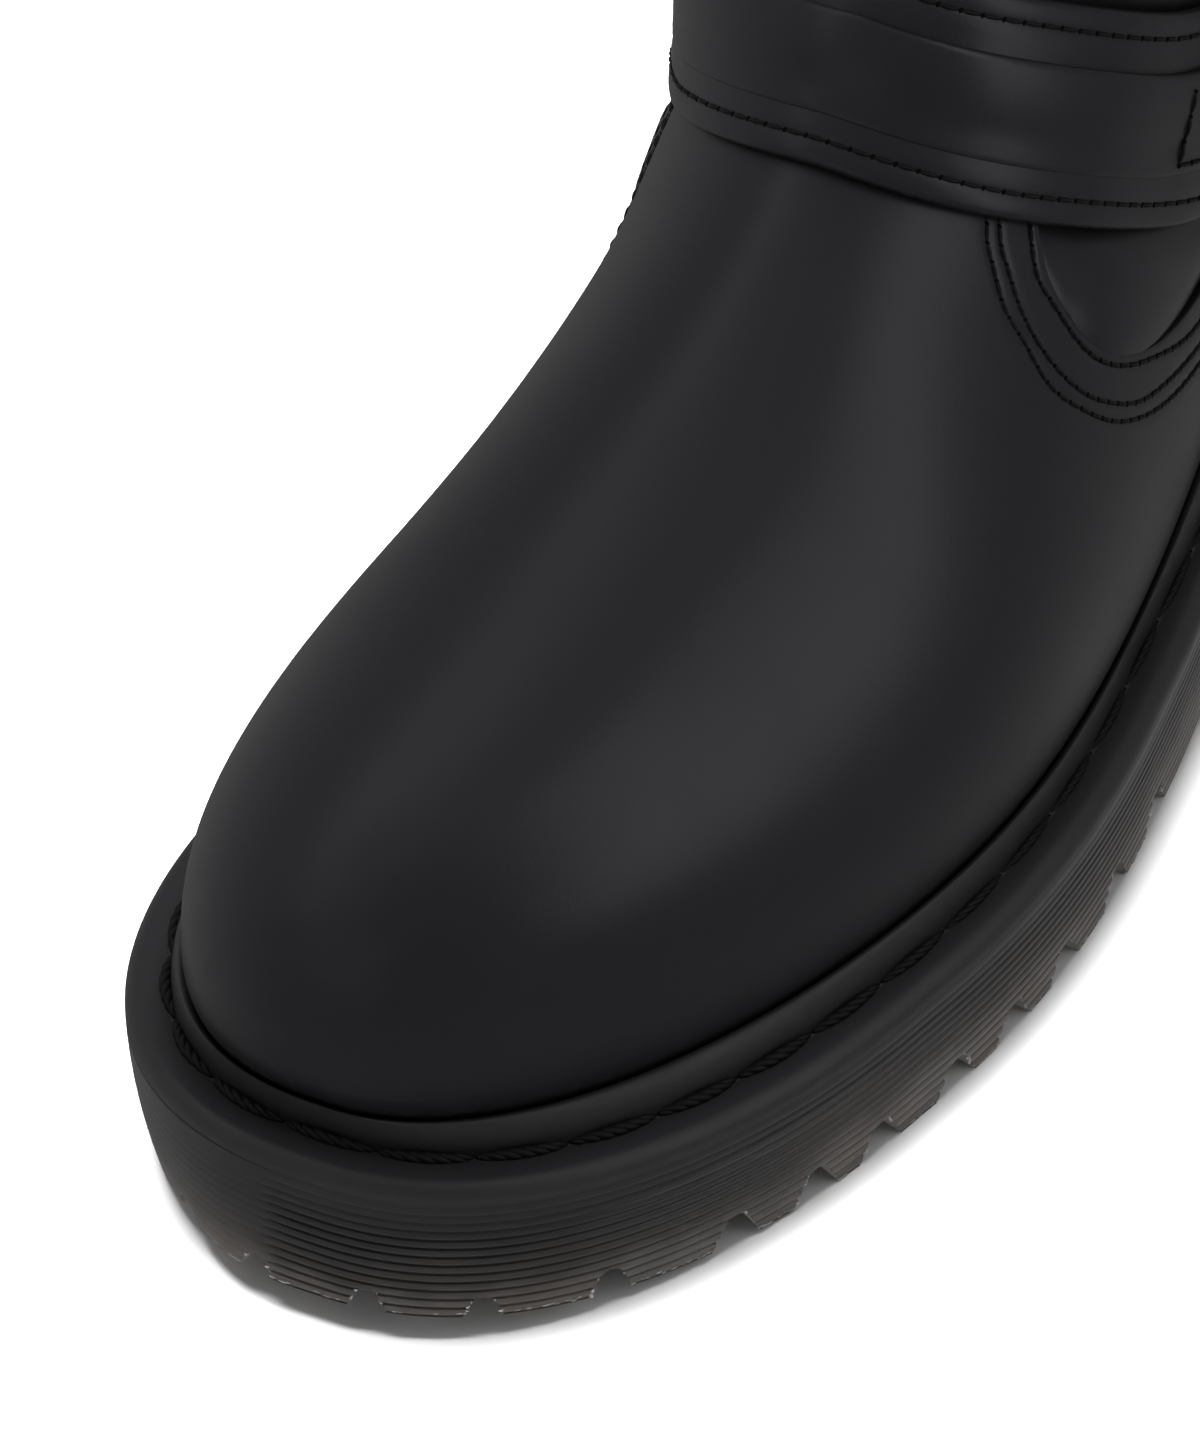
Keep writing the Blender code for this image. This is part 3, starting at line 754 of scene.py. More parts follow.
def row_shares(count, dense_low, dense_high, weight):
    """Shares from -1 to 1, closer together where the vamp's edge and its seams run."""
    fine = np.linspace(0, 1, 2001)
    density = 1 + weight * (ease((fine - dense_low) / 0.05) - ease((fine - dense_high) / 0.05))
    walked = np.concatenate([[0.0], np.cumsum((density[1:] + density[:-1]) / 2)])
    half = np.interp(np.linspace(0, walked[-1], count + 1), walked, fine)
    return np.concatenate([-half[:0:-1], half])


# The vamp's edge and rows lie further round the medial side: lateral share, medial share.
ROUND_SHIFT = ((0.0, 0.262, 0.985, 1.0), (0.0, 0.427, 0.985, 1.0))


def medial_share(share):
    return np.interp(share, *ROUND_SHIFT)


def pattern_share(share):
    """Share of the lateral pattern that lies at a signed share of the upper."""
    return np.where(share >= 0, np.abs(share), np.interp(np.abs(share), *ROUND_SHIFT[::-1]))


# Foot angle as the inner columns see it, smooth where the sections begin to reach the seat.
FOOT_STATION = (3.0, 3.4, 3.8, 4.2, 4.6, 5.0, 5.3, 5.5, 5.7)
FOOT_ANGLE = (3.1416, 3.13, 3.07, 2.88, 2.53, 2.19, 2.03, 1.98, 1.984)


def upper_angle(station, share):
    """Angle of a share of the half girth between the ridge and the foot line."""
    station, share = np.broadcast_arrays(station, share)
    foot = foot_angle(station, np.where(share >= 0, 1.0, -1.0), GAP)
    seen = np.clip(station, FOOT_STATION[0], FOOT_STATION[-1])
    inner = smooth_curve(FOOT_STATION, FOOT_ANGLE)(seen)
    inner = np.where(station > 5.5, foot, inner)
    return share * (inner + (foot - inner) * ease((np.abs(share) - 0.78) / 0.22))


def seam_line(table, side, step):
    """Stations and angles along a seam row, evenly spaced in millimetres."""
    curve = table_curve(table, 1)
    ends = [row[0] for row in table.values()]
    share = np.linspace(ends[0], ends[-1], 900)
    station = curve(share)
    angle = upper_angle(station, share if side > 0 else -medial_share(share))
    line = last_point(station, angle)
    gone = path_lengths(line)
    even = np.arange(0, gone[-1], step)
    return np.interp(even, gone, station), np.interp(even, gone, angle)


def seam_lines(step):
    """Stations and angles along every seam row, the lateral side first."""
    rows = (OUTER_ROW, SECOND_ROW, INNER_ROW)
    return [seam_line(table, side, step) for side in (1.0, -1.0) for table in rows]


GROOVE_DEPTH = 0.22
GROOVE_WIDTH = 0.55


def near_rows(points, lines):
    """Distance from each point to the nearest of the seam lines."""
    stack = np.concatenate(lines)
    tree = kdtree.KDTree(len(stack))
    for i, place in enumerate(stack):
        tree.insert(place, i)
    tree.balance()
    found = [tree.find(point)[2] for point in points.reshape(-1, 3)]
    return np.array(found).reshape(points.shape[:-1])


def shell(name, outer, inner, materials, stands_for, inner_material, closed_rows):
    """Closed shell of two grids, joined round its border except where its sides meet."""
    rows, width = outer.shape[:2]
    count = rows * width
    points = np.concatenate([outer.reshape(-1, 3), inner.reshape(-1, 3)])
    faces = grid_faces(rows, width)
    marks = [0] * len(faces)
    back = [tuple(count + k for k in reversed(face)) for face in grid_faces(rows, width)]
    faces += back
    marks += [inner_material] * len(back)
    border = list(range(width))
    border += [i * width + width - 1 for i in range(1, rows)]
    border += [(rows - 1) * width + j for j in range(width - 2, -1, -1)]
    border += [i * width for i in range(rows - 2, 0, -1)]
    for a, b in zip(border, border[1:] + border[:1]):
        closed = a // width in closed_rows and b // width in closed_rows
        if closed and (abs(a - b) == width or a >= count - width):
            continue
        faces.append((b, a, count + a, count + b))
        marks.append(0)
    return make_piece(name, points, faces, materials, stands_for, marks)


SHAFT_COLUMNS = 110
SHAFT_ROWS = 60
HEEL_ROWS = 44
# Lift of the quarter inside the vamp's edge, from the front to the rear of the opening.
QUARTER_ACROSS = (0.0, 0.08, 0.16, 0.3, 0.5, 0.75, 1.0)
QUARTER_LIFT = (-0.5, -0.1, 0.4, 0.95, 0.9, 0.2, -0.7)
QUARTER_DIP = 0.6
UNDER_ROWS = 60
NOSE_ROWS = 9


def nose_rows(share, toe):
    """Closed rows from the front of the foot line to the point of the nose."""
    walk = 1 - (1 - np.linspace(0, 1, NOSE_ROWS + 1)[1:]) ** 2.5
    return [np.full_like(share, toe + (STATIONS - toe) * k) for k in walk]


def build_shaft():
    """Shaft and quarter with the lining; under the vamp the same wall goes on to the toe."""
    share = row_shares(SHAFT_COLUMNS, 0.3, 0.75, 0.6)
    turn = pattern_share(share)
    edge = EDGE_STATION(turn)
    first = base_crossing(4.0, 6.0, GAP)
    heel = np.where(turn > 0.7, first, np.minimum(HEEL_STATION(turn), first))
    toe = base_crossing(10.0, 11.0, GAP)
    rows = [heel * k for k in np.linspace(0, 1, SHAFT_ROWS)]
    rows += [heel + (edge - heel) * k ** 2 for k in np.linspace(0, 1, HEEL_ROWS + 1)[1:]]
    for k in np.linspace(0, 1, UNDER_ROWS + 1)[1:]:
        rows.append(edge + (toe - edge) * (0.45 * k + 0.55 * np.sin(k * np.pi / 2)))
    rows += nose_rows(share, toe)
    station = np.array(rows)
    angle = upper_angle(station, share)
    face = last_point(station, angle)
    low_edge = face[SHAFT_ROWS + HEEL_ROWS - 1][turn > 0.42]
    puff = smooth_curve(QUARTER_ACROSS, QUARTER_LIFT)(np.clip((turn - 0.36) / 0.36, 0.0, 1.0))
    puff = puff - QUARTER_DIP * (1 - ease(near_rows(face, [low_edge]) / 3.5))
    clear = ease((station - STRAP_LOWER(np.abs(angle)) + 0.05) / 0.3) * (station < edge + 1e-6)
    clear = clear * ease((turn - 0.3) / 0.04) * ease((0.84 - turn) / 0.12)
    outer = skin(station, angle, -SHAFT_STEP + clear * (puff + SHAFT_STEP))
    inner = skin(station, angle, -WALL)
    closed = set(range(SHAFT_ROWS)) | set(range(len(rows) - NOSE_ROWS - 1, len(rows)))
    return shell("upper_shaft", outer, inner, [LEATHER, LINING], ("upper",), 1, closed)


VAMP_COLUMNS = 110
VAMP_ROWS = 130
VAMP_UNDER = -1.12


def build_vamp():
    """The vamp: its rear edge is cut and rolled, and its seam rows lie in shallow grooves."""
    share = row_shares(VAMP_COLUMNS, 0.24, 0.72, 1.6)
    turn = pattern_share(share)
    edge = EDGE_STATION(turn)
    flush = ease((turn - 0.33) / 0.02) * (1 - ease((turn - 0.385) / 0.05))
    toe = base_crossing(10.0, 11.0, GAP)
    walk = np.linspace(0, 1, VAMP_ROWS + 1)
    spread = 0.45 * walk + 0.55 * (1 - np.cos(np.pi * walk)) / 2
    rows = [edge + (toe - edge) * k for k in spread]
    rows += nose_rows(share, toe)
    lines = [last_point(*seam) for seam in seam_lines(0.4)]
    station = np.array(rows)
    angle = upper_angle(station, share)
    face = last_point(station, angle)
    lift = -GROOVE_DEPTH * np.exp(-(near_rows(face, lines) / GROOVE_WIDTH) ** 2)
    rolled = np.clip(1 - near_rows(face, [face[0]]) / 1.3, 0, 1)
    lift -= (0.75 - 0.55 * flush) * (1 - np.sqrt(1 - rolled ** 2 * 0.97))
    outer = skin(station, angle, lift)
    inner = skin(station, angle, VAMP_UNDER)
    closed = set(range(len(rows) - NOSE_ROWS - 1, len(rows)))
    return shell("upper_vamp", outer, inner, [LEATHER], ("upper",), 0, closed)


def build_cut_edge_and_shade():
    """The dark cut edge of the vamp, inside its innermost row of stitches, partly painted shade:
    towards the rear it thickens to stand for the shadow of the vamp's step onto the quarter.
    """
    bundle = Bundle()
    share = np.linspace(0.36, 0.86, 220)
    station = EDGE_STATION(share)
    # Thin in front, thicker to the rear: the added thickness is painted shade of the edge's step.
    thick = 0.03 + 0.42 * ease((share - 0.372) / 0.08) * ease((0.86 - share) / 0.04)
    for around in (share, -medial_share(share)):
        angle = upper_angle(station, around)
        line = skin(station, angle, -0.45)
        bundle.tube(line, thick, 8, last_normal(station, angle))
    return bundle.piece("vamp_cut_edge_and_shade", SHADE_BLACK, "upper")


# Profile across the broad strap: distance from the lower or upper edge, lift over the under face.
EDGE_PROFILE = ((0.0, 0.25), (0.0, 0.9), (0.18, 1.35), (0.55, 1.66), (1.1, 1.8))
STITCH_INSET = 3.6
STITCH_GROOVE = ((-0.8, 1.82), (-0.35, 1.70), (0.0, 1.62), (0.35, 1.70), (0.8, 1.82))
STRAP_COLUMNS = 460


def strap_width(angle):
    low = strap_point(angle, 0.0, 0.0)
    middle = strap_point(angle, 0.5, 0.0)
    high = strap_point(angle, 1.0, 0.0)
    return np.linalg.norm(middle - low, axis=-1) + np.linalg.norm(high - middle, axis=-1)


def build_base_strap():
    angle = np.linspace(-np.pi, np.pi, STRAP_COLUMNS + 1)[:-1]
    width = strap_width(angle)
    profile = list(EDGE_PROFILE)
    profile += [(STITCH_INSET + d, lift) for d, lift in STITCH_GROOVE]
    places = [(d / width, lift) for d, lift in profile]
    places += [(np.full_like(width, k), STRAP_THICK) for k in np.linspace(0.2, 0.8, 7)]
    places += [(1 - d / width, lift) for d, lift in reversed(profile)]
    places += [(np.full_like(width, 1.0), 0.0), (np.full_like(width, 0.5), 0.0),
               (np.full_like(width, 0.0), 0.0)]
    rings = np.array([strap_point(angle, across, lift) for across, lift in places])
    points = rings.transpose(1, 0, 2).reshape(-1, 3)
    faces = ring_faces(len(angle), len(places), 0, True)
    return make_piece("ankle_strap_base_leather", points, faces, [STRAP_LEATHER],
                      ("ankle_strap_base",))


def ring_place(side):
    """Middle and outward direction of the steel ring on one side."""
    angle = np.array(side * RING_ANGLE)
    across = sum(TOP_STRAP) / 2
    return strap_point(angle, across, STRAP_THICK + RING_CLEAR + RING_WIRE), strap_normal(angle)


def clear_of_ring(side, start, end):
    """The first angle from start to end at which the narrow strap comes up to the ring."""
    middle, _ = ring_place(side)
    low, high = TOP_STRAP
    under = STRAP_THICK + TOP_STRAP_GAP
    angle = np.linspace(start, end, 400)[:, None]
    across = low + (high - low) * np.array((0, 0.34, 0.67, 1))
    places = np.concatenate([strap_point(angle, across, under),
                             strap_point(angle, across, under + STRAP_THICK)], axis=1)
    near = np.linalg.norm(places - middle, axis=-1).min(axis=1) < RING_RADIUS + RING_WIRE + GAP
    return float(angle[near.argmax(), 0])


def top_strap_lift(across):
    """Height of the narrow strap's face over the broad strap."""
    low, high = TOP_STRAP
    return np.interp((across - low) / (high - low), (0.0, 0.1, 0.26, 0.42, 0.6, 0.8, 1.0),
                     (0.15, 0.3, 0.6, 0.9, 1.2, 1.42, 1.45))


def build_top_strap(name, node, start, end, count):
    """Narrow strap: a thin skived lower edge, a fuller upper edge, flat closed ends."""
    angle = np.linspace(start, end, count)
    low, high = TOP_STRAP
    under = STRAP_THICK
    width = strap_width(angle) * (high - low)
    lower_edge = ((0.0, -0.3), (0.0, 0.06), (0.2, 0.17), (0.8, 0.24), (2.5, 0.36), (5.0, 0.58))
    upper_edge = ((4.0, 1.42), (1.2, 1.5), (0.5, 1.42), (0.12, 1.15), (0.0, 0.8), (0.0, 0.25))
    places = [(low + (high - low) * d / width, lift) for d, lift in lower_edge]
    places += [(np.full_like(width, low + (high - low) * k), h) for k, h in ((0.42, 0.9), (0.6, 1.2))]
    places += [(high - (high - low) * d / width, lift) for d, lift in upper_edge]
    places += [(np.full_like(width, low + (high - low) * k), h) for k, h in ((0.98, 0.1), (0.5, -0.3))]
    rings = np.array([strap_point(angle, across, under + lift) for across, lift in places])
    points = rings.transpose(1, 0, 2).reshape(-1, 3)
    faces = ring_faces(len(angle), len(places))
    faces.append(tuple(reversed(range(len(places)))))
    faces.append(tuple(range((len(angle) - 1) * len(places), len(angle) * len(places))))
    return make_piece(name, points, faces, [STRAP_LEATHER], (node,))


def tube_rings(line, radius, sides, up):
    """Rings of a round tube along a line of points."""
    along = np.gradient(line, axis=0)
    along /= np.linalg.norm(along, axis=1, keepdims=True)
    side = np.cross(along, up)
    side /= np.linalg.norm(side, axis=1, keepdims=True)
    rise = np.cross(side, along)
    turn = np.linspace(0, 2 * np.pi, sides + 1)[:-1]
    wide = np.broadcast_to(radius, len(line))
    return (line[:, None, :]
            + wide[:, None, None] * (np.cos(turn)[None, :, None] * side[:, None, :]
                                     + np.sin(turn)[None, :, None] * rise[:, None, :]))


class Bundle:
    """Many small closed tubes gathered into one piece."""

    def __init__(self):
        self.points = []
        self.faces = []
        self.count = 0

    def tube(self, line, radius, sides, up):
        rings = tube_rings(line, radius, sides, up)
        rows = len(rings)
        self.points.append(rings.reshape(-1, 3))
        self.faces += ring_faces(rows, sides, self.count)
        self.faces.append(tuple(self.count + k for k in reversed(range(sides))))
        last = self.count + (rows - 1) * sides
        self.faces.append(tuple(last + k for k in range(sides)))
        self.count += rows * sides

    def dome(self, place, along, up, half_length, half_width):
        """Low dark lens that paints the shade inside a needle hole, a little aslant to the row."""
        along = along / np.linalg.norm(along)
        up = up / np.linalg.norm(up)
        aside = np.cross(up, along)
        lean = aside + 0.2 * along
        rings = []
        for level, share in ((-0.25, 0.5), (0.05, 1.0), (0.14, 0.8), (0.2, 0.35)):
            for turn in np.linspace(0, 2 * np.pi, 9)[:-1]:
                rings.append(place + share * (half_length * np.cos(turn) * along
                                              + half_width * np.sin(turn) * lean) + level * up)
        self.points.append(np.array(rings))
        self.faces += ring_faces(4, 8, self.count)
        self.faces.append(tuple(self.count + k for k in reversed(range(8))))
        self.faces.append(tuple(self.count + 24 + k for k in range(8)))
        self.count += 32

    def piece(self, name, material, slot):
        return make_piece(name, np.concatenate(self.points), self.faces, [material])


def build_ring(name, node, side):
    middle, outward = ring_place(side)
    first = np.cross(outward, (0.0, 0.0, 1.0))
    first /= np.linalg.norm(first)
    second = np.cross(outward, first)
    rings = []
    for turn in np.linspace(0, 2 * np.pi, 97)[:-1]:
        spoke = first * np.cos(turn) + second * np.sin(turn)
        centre = middle + spoke * RING_RADIUS
        rings.append([centre + RING_WIRE * (spoke * np.cos(a) + outward * np.sin(a))
                      for a in np.linspace(0, 2 * np.pi, 25)[:-1]])
    points = np.array(rings).reshape(-1, 3)
    return make_piece(name, points, ring_faces(96, 24, 0, True), [STEEL], (node,))


STITCH_SHAPE = np.linspace(0, 1, 7)


def stitch_run(bundle, hole_shades, line, up, pitch, radius, rise):
    """Stitches along a line: each comes up from its hole, lies on the leather and goes down."""
    gone = path_lengths(line)
    count = int(round(gone[-1] / pitch))
    pitch = gone[-1] / count
    for i in range(count):
        at = (i + 0.04 + 0.92 * STITCH_SHAPE) * pitch
        place = along_path(at, gone, line)
        above = along_path(at, gone, up)
        lift = rise * np.sin(np.pi * STITCH_SHAPE) ** 0.5 - 0.3 * (1 - np.sin(np.pi * STITCH_SHAPE))
        bundle.tube(place + above * lift[:, None], radius, 6, above)
        # A dark lens at the hole where the stitch comes up paints the hole's shade.
        hole_shades.dome(place[0], place[1] - place[0], above[0], 0.30, 0.44)


SEAM_PITCH = 2.6
STRAP_PITCH = 3.2


# Box of stitches that holds the end of the narrow strap: angle and across at each corner.
BOX = ((1.055, 0.64), (1.095, 0.285), (1.30, 0.285))


def build_stitches():
    bundle = Bundle()
    # The second bundle gathers dark lenses that paint the shade inside the needle holes.
    hole_shades = Bundle()
    for station, angle in seam_lines(0.5):
        line = skin(station, angle, -0.16)
        stitch_run(bundle, hole_shades, line, last_normal(station, angle), SEAM_PITCH, 0.28, 0.16)
    bundle.piece("vamp_stitches", THREAD, "upper")
    hole_shades.piece("vamp_needle_hole_shades", SHADE_BLACK, "upper")
    bundle = Bundle()
    hole_shades = Bundle()
    angle = np.linspace(-np.pi, np.pi, 1600)
    width = strap_width(angle)
    for across in (STITCH_INSET / width, 1 - STITCH_INSET / width):
        line = strap_point(angle, across, STRAP_THICK - 0.14)
        up = strap_point(angle, across, STRAP_THICK + 0.86) - line
        stitch_run(bundle, hole_shades, line, up, STRAP_PITCH, 0.27, 0.16)
    for side in (1.0, -1.0):
        for (a, low), (b, high) in zip(BOX, BOX[1:]):
            angle = side * np.linspace(a, b, 60)
            across = np.linspace(low, high, 60)
            face = STRAP_THICK + top_strap_lift(across)
            line = strap_point(angle, across, face + 0.08)
            up = strap_point(angle, across, face + 1.08) - line
            stitch_run(bundle, hole_shades, line, up, STRAP_PITCH, 0.27, 0.16)
    bundle.piece("strap_stitches", THREAD, "ankle_strap_base")
    hole_shades.piece("strap_needle_hole_shades", SHADE_BLACK, "ankle_strap_base")


WELT_HALF = 260
SOFT_EDGE = 2.4
BEAD_TOP = 5.6


def bead_foot(line):
    """Width of the bead at the flange: broader round the toe."""
    return 5.2 + 1.1 * ease((line[:, 0] - 225.0) / 50.0)


def build_welt():
    """Plate, flange with a soft edge, and the bead round the foot of the upper."""
    half = WELT_HALF

    def beside_upper(lift, out):
        return columns(offset_outward(foot_line(lift), out), half)

    def at(plan, above_seat):
        return with_heights(plan, seat(plan[:, 0]) + above_seat)

    rings = [at(rim(half, 0.8), -FLANGE - GAP - 0.2), at(rim(half, 0.05), -FLANGE - GAP - 0.1)]
    for turn in np.linspace(0, 90, 12):
        corner = math.radians(turn)
        inset = SOFT_EDGE * (1 - math.cos(corner))
        rings.append(at(rim(half, inset), SOFT_EDGE * (math.sin(corner) - 1)))
    foot_out = bead_foot(foot_line(0.0))
    rings.append(at(beside_upper(0.0, foot_out + 1.7), -0.05))
    rings.append(at(beside_upper(0.0, foot_out + 0.8), -0.3))
    rings.append(at(beside_upper(0.0, foot_out + 0.1), -0.4))
    foot = beside_upper(0.0, foot_out)
    top = beside_upper(BEAD_TOP, 1.0)
    for turn in np.linspace(0, 90, 14):
        corner = math.radians(turn)
        share = 1 - math.cos(corner)
        rings.append(at(foot + (top - foot) * share, BEAD_TOP * math.sin(corner) ** 0.85))
    rings.append(at(beside_upper(BEAD_TOP, 0.55), BEAD_TOP - 0.12))
    rings.append(at(beside_upper(BEAD_TOP - 0.5, 0.25), BEAD_TOP - 0.6))
    rings.append(at(beside_upper(BEAD_TOP * 0.6, GAP), BEAD_TOP * 0.6))
    rings.append(at(beside_upper(0.0, GAP), 0.0))
    return ringed_piece("welt_rubber", rings, half, RUBBER, "welt")


def cross_cap(start, half, count):
    """Strips across one ring from its lateral to its medial columns."""
    faces = []
    for i in range(half):
        corners = (i, i + 1, -(i + 1) % count, -i % count)
        faces.append(tuple(start + k for k in dict.fromkeys(corners)))
    return faces


def ringed_piece(name, rings, half, material, node, turned=False):
    """A body of stacked rings closed at both ends; turned if its rings run downward."""
    count = len(rings[0])
    faces = ring_faces(len(rings), count)
    first = cross_cap(0, half, count)
    last = cross_cap((len(rings) - 1) * count, half, count)
    if turned:
        faces = [tuple(reversed(face)) for face in faces]
        last = [tuple(reversed(face)) for face in last]
    return make_piece(name, np.concatenate(rings), faces + first + last, [material], (node,))


WELT_PITCH = 13.2
ROPE = 0.38


def build_welt_thread():
    """Twisted three-ply thread: each long stitch bows outward and dives under the bead."""
    foot_out = bead_foot(FOOT_LINE)
    line = offset_outward(FOOT_LINE, foot_out + 0.2)
    line[:, 2] = seat(line[:, 0]) + 0.1
    out = offset_outward(FOOT_LINE, foot_out + 1.2) - line
    out[:, 2] = 0.0
    line = np.concatenate([line, line[:1]])
    out = np.concatenate([out, out[:1]])
    gone = path_lengths(line)
    count = int(round(gone[-1] / WELT_PITCH))
    pitch = gone[-1] / count
    near_toe = ease((line[:, 0] - 190.0) / 65.0)
    walk = np.linspace(0, 1, 26)
    bundle = Bundle()
    hole_shades = Bundle()
    up = np.broadcast_to((0.0, 0.0, 1.0), (len(walk), 3))
    for i in range(count):
        at = (i + 0.73 + 0.96 * walk) * pitch % gone[-1]
        place = along_path(at, gone, line)
        aside = along_path(at, gone, out)
        bow = np.sin(np.pi * walk) ** 0.8
        full = np.interp(at, gone, near_toe)
        sideways = (0.85 * bow - 0.35) * (0.6 + 0.4 * full)
        place = place + aside * sideways[:, None] + up * (0.7 * bow - 0.75 + 0.3 * full)[:, None]
        thick = (0.55 + 0.45 * np.sin(np.pi * walk) ** 0.6) * (0.64 + 0.36 * full)
        # A dark lens at each hole in the welt paints the hole's shade.
        hole_shades.dome(place[0] + 0.15 * up[0], place[1] - place[0], up[0], 0.55, 0.45)
        for strand in range(3):
            turn = 2 * np.pi * (strand / 3 + 2.2 * walk)
            twist = ROPE * (np.cos(turn)[:, None] * aside + np.sin(turn)[:, None] * up) * thick[:, None]
            bundle.tube(place + twist, 0.56 * thick, 7, up)
    bundle.piece("welt_thread", THREAD, "welt")
    hole_shades.piece("welt_needle_hole_shades", SHADE_BLACK, "welt")


def outsole_top(x):
    return seat(x) - FLANGE - GAP


def outsole_floor(x):
    return outsole_top(x) - RIB_ZONE


# One rib of the side wall from its top groove down: share of the pitch, share of the depth.
RIB_PROFILE = ((0.0, 1.0), (0.1, 0.9), (0.2, 0.25), (0.36, 0.02), (0.6, 0.0), (0.82, 0.1), (0.93, 0.6))
OUTSOLE_HALF = 200


def ribbed_rings(plan_at, top, bottom, ribs, draft, fade=1.0, taper=0.0):
    """Rings down a ribbed wall between two heights; fade and taper may differ along the wall."""
    rings = []
    for rib in range(ribs):
        for along, depth in RIB_PROFILE:
            deeper = 0.12 + 0.88 * float(ease((rib + along) / 5.0))
            rings.append(((rib + along) / ribs, depth * deeper))
    rings.append((1.0, 0.0))
    made = []
    for share, depth in rings:
        plan = plan_at(draft * share)
        inward = plan_at(draft * share + 1.0) - plan
        inset = RIB_DEPTH * depth * np.broadcast_to(fade, len(plan)) + taper * share ** 2
        plan = plan + inward * inset[:, None]
        x = plan[:, 0]
        made.append(with_heights(plan, top(x) + (bottom(x) - top(x)) * share))
    return made


def from_tip(half):
    """Distance along the rim from the toe tip at each column, negative on the lateral side."""
    plan = rim(half)
    gone = path_lengths(plan)
    return gone - gone[half]


def rim_walk(distances, side, from_toe):
    """Place, outward direction and distance along the rim from the toe or the back."""
    line = offset_outward(FOOT_LINE, rim_margin(FOOT_LINE))[:, :2]
    start = line[:, 0].argmax() if from_toe else line[:, 0].argmin()
    line = np.roll(line, -start, axis=0)
    if (side > 0) == from_toe:
        line = np.roll(line[::-1], 1, axis=0)
    gone = path_lengths(line)
    middle = line.mean(axis=0)
    found = []
    for distance in distances:
        place = along_path(distance, gone, line)
        ahead = along_path(distance + 2.0, gone, line)
        along = (ahead - place) / np.linalg.norm(ahead - place)
        outward = np.array([along[1], -along[0]])
        if outward @ (place - middle) < 0:
            outward = -outward
        found.append((place, outward, distance))
    return found


# Rounded roof of a notch: depth below its top, how far its sides are drawn in.
NOTCH_ROUND = ((0.9, 0.0), (0.35, 0.3), (0.0, 0.85))


def notch_size(distance):
    """Height and slope of a notch: low at the toe, taller along the sides."""
    back = float(ease((distance - 15.0) / 55.0))
    return 3.4 + 2.2 * back, 0.38 + 0.12 * back


def notch_half(height, slope, level):
    """Half the width of a notch at a level over the floor of the sole."""
    return NOTCH_ROOF / 2 + (height - level) * slope


def cut_notches(piece, walks, floor):
    """Cut the notches between the lugs in one step."""
    points = []
    faces = []
    for place, outward, distance in walks:
        start = len(points)
        low = float(floor(place[0]))
        side = np.array([-outward[1], outward[0]])
        height, slope = notch_size(distance)
        sides = [(-3.0, notch_half(height, slope, -3.0))]
        for depth, drawn in NOTCH_ROUND:
            level = height - depth
            sides.append((level, notch_half(height, slope, level) - drawn))
        for level, wide in sides:
            for reach, sign in ((4.0, -1), (4.0, 1), (-NOTCH_REACH, 1), (-NOTCH_REACH, -1)):
                plan = place + outward * reach + side * sign * wide
                points.append((plan[0], plan[1], low + level))
        faces += ring_faces(len(sides), 4, start)
        top = start + 4 * len(sides) - 4
        faces += [(start + 3, start + 2, start + 1, start), (top, top + 1, top + 2, top + 3)]
    mesh = bpy.data.meshes.new("notch_cutter")
    mesh.from_pydata(((np.array(points) - ORIGIN) * MM).tolist(), [], faces)
    cutter = add_object("notch_cutter", mesh)
    cut = piece.modifiers.new("notches", "BOOLEAN")
    cut.operation = "DIFFERENCE"
    cut.solver = "EXACT"
    cut.object = cutter
    bpy.context.view_layer.update()
    graph = bpy.context.evaluated_depsgraph_get()
    result = bpy.data.meshes.new_from_object(piece.evaluated_get(graph))
    piece.modifiers.clear()
    piece.data = result
    bpy.data.objects.remove(cutter, do_unlink=True)
    result.set_sharp_from_angle(angle=math.radians(40))


def toe_tuck(walked):
    """How far the foot of the wall is drawn in along the medial side of the toe."""
    return 2.4 * ease((walked - 8.0) / 20.0) * (1 - ease((walked - 75.0) / 30.0))


def build_outsole():
    walked = from_tip(OUTSOLE_HALF)
    smooth = ease((walked - 5.5) / 1.5) * (1 - ease((walked - 95.0) / 15.0))
    rings = ribbed_rings(lambda inset: rim(OUTSOLE_HALF, inset), outsole_top, outsole_floor,
                         RIBS, WALL_DRAFT, 1 - 0.88 * smooth, toe_tuck(walked))
    piece = ringed_piece("outsole_rubber", rings, OUTSOLE_HALF, SMOKE_AND_PAINTED_LIGHT, "outsole", True)
    walks = rim_walk(LATERAL_NOTCHES, 1, True) + rim_walk(MEDIAL_NOTCHES, -1, True)
    cut_notches(piece, walks, outsole_floor)


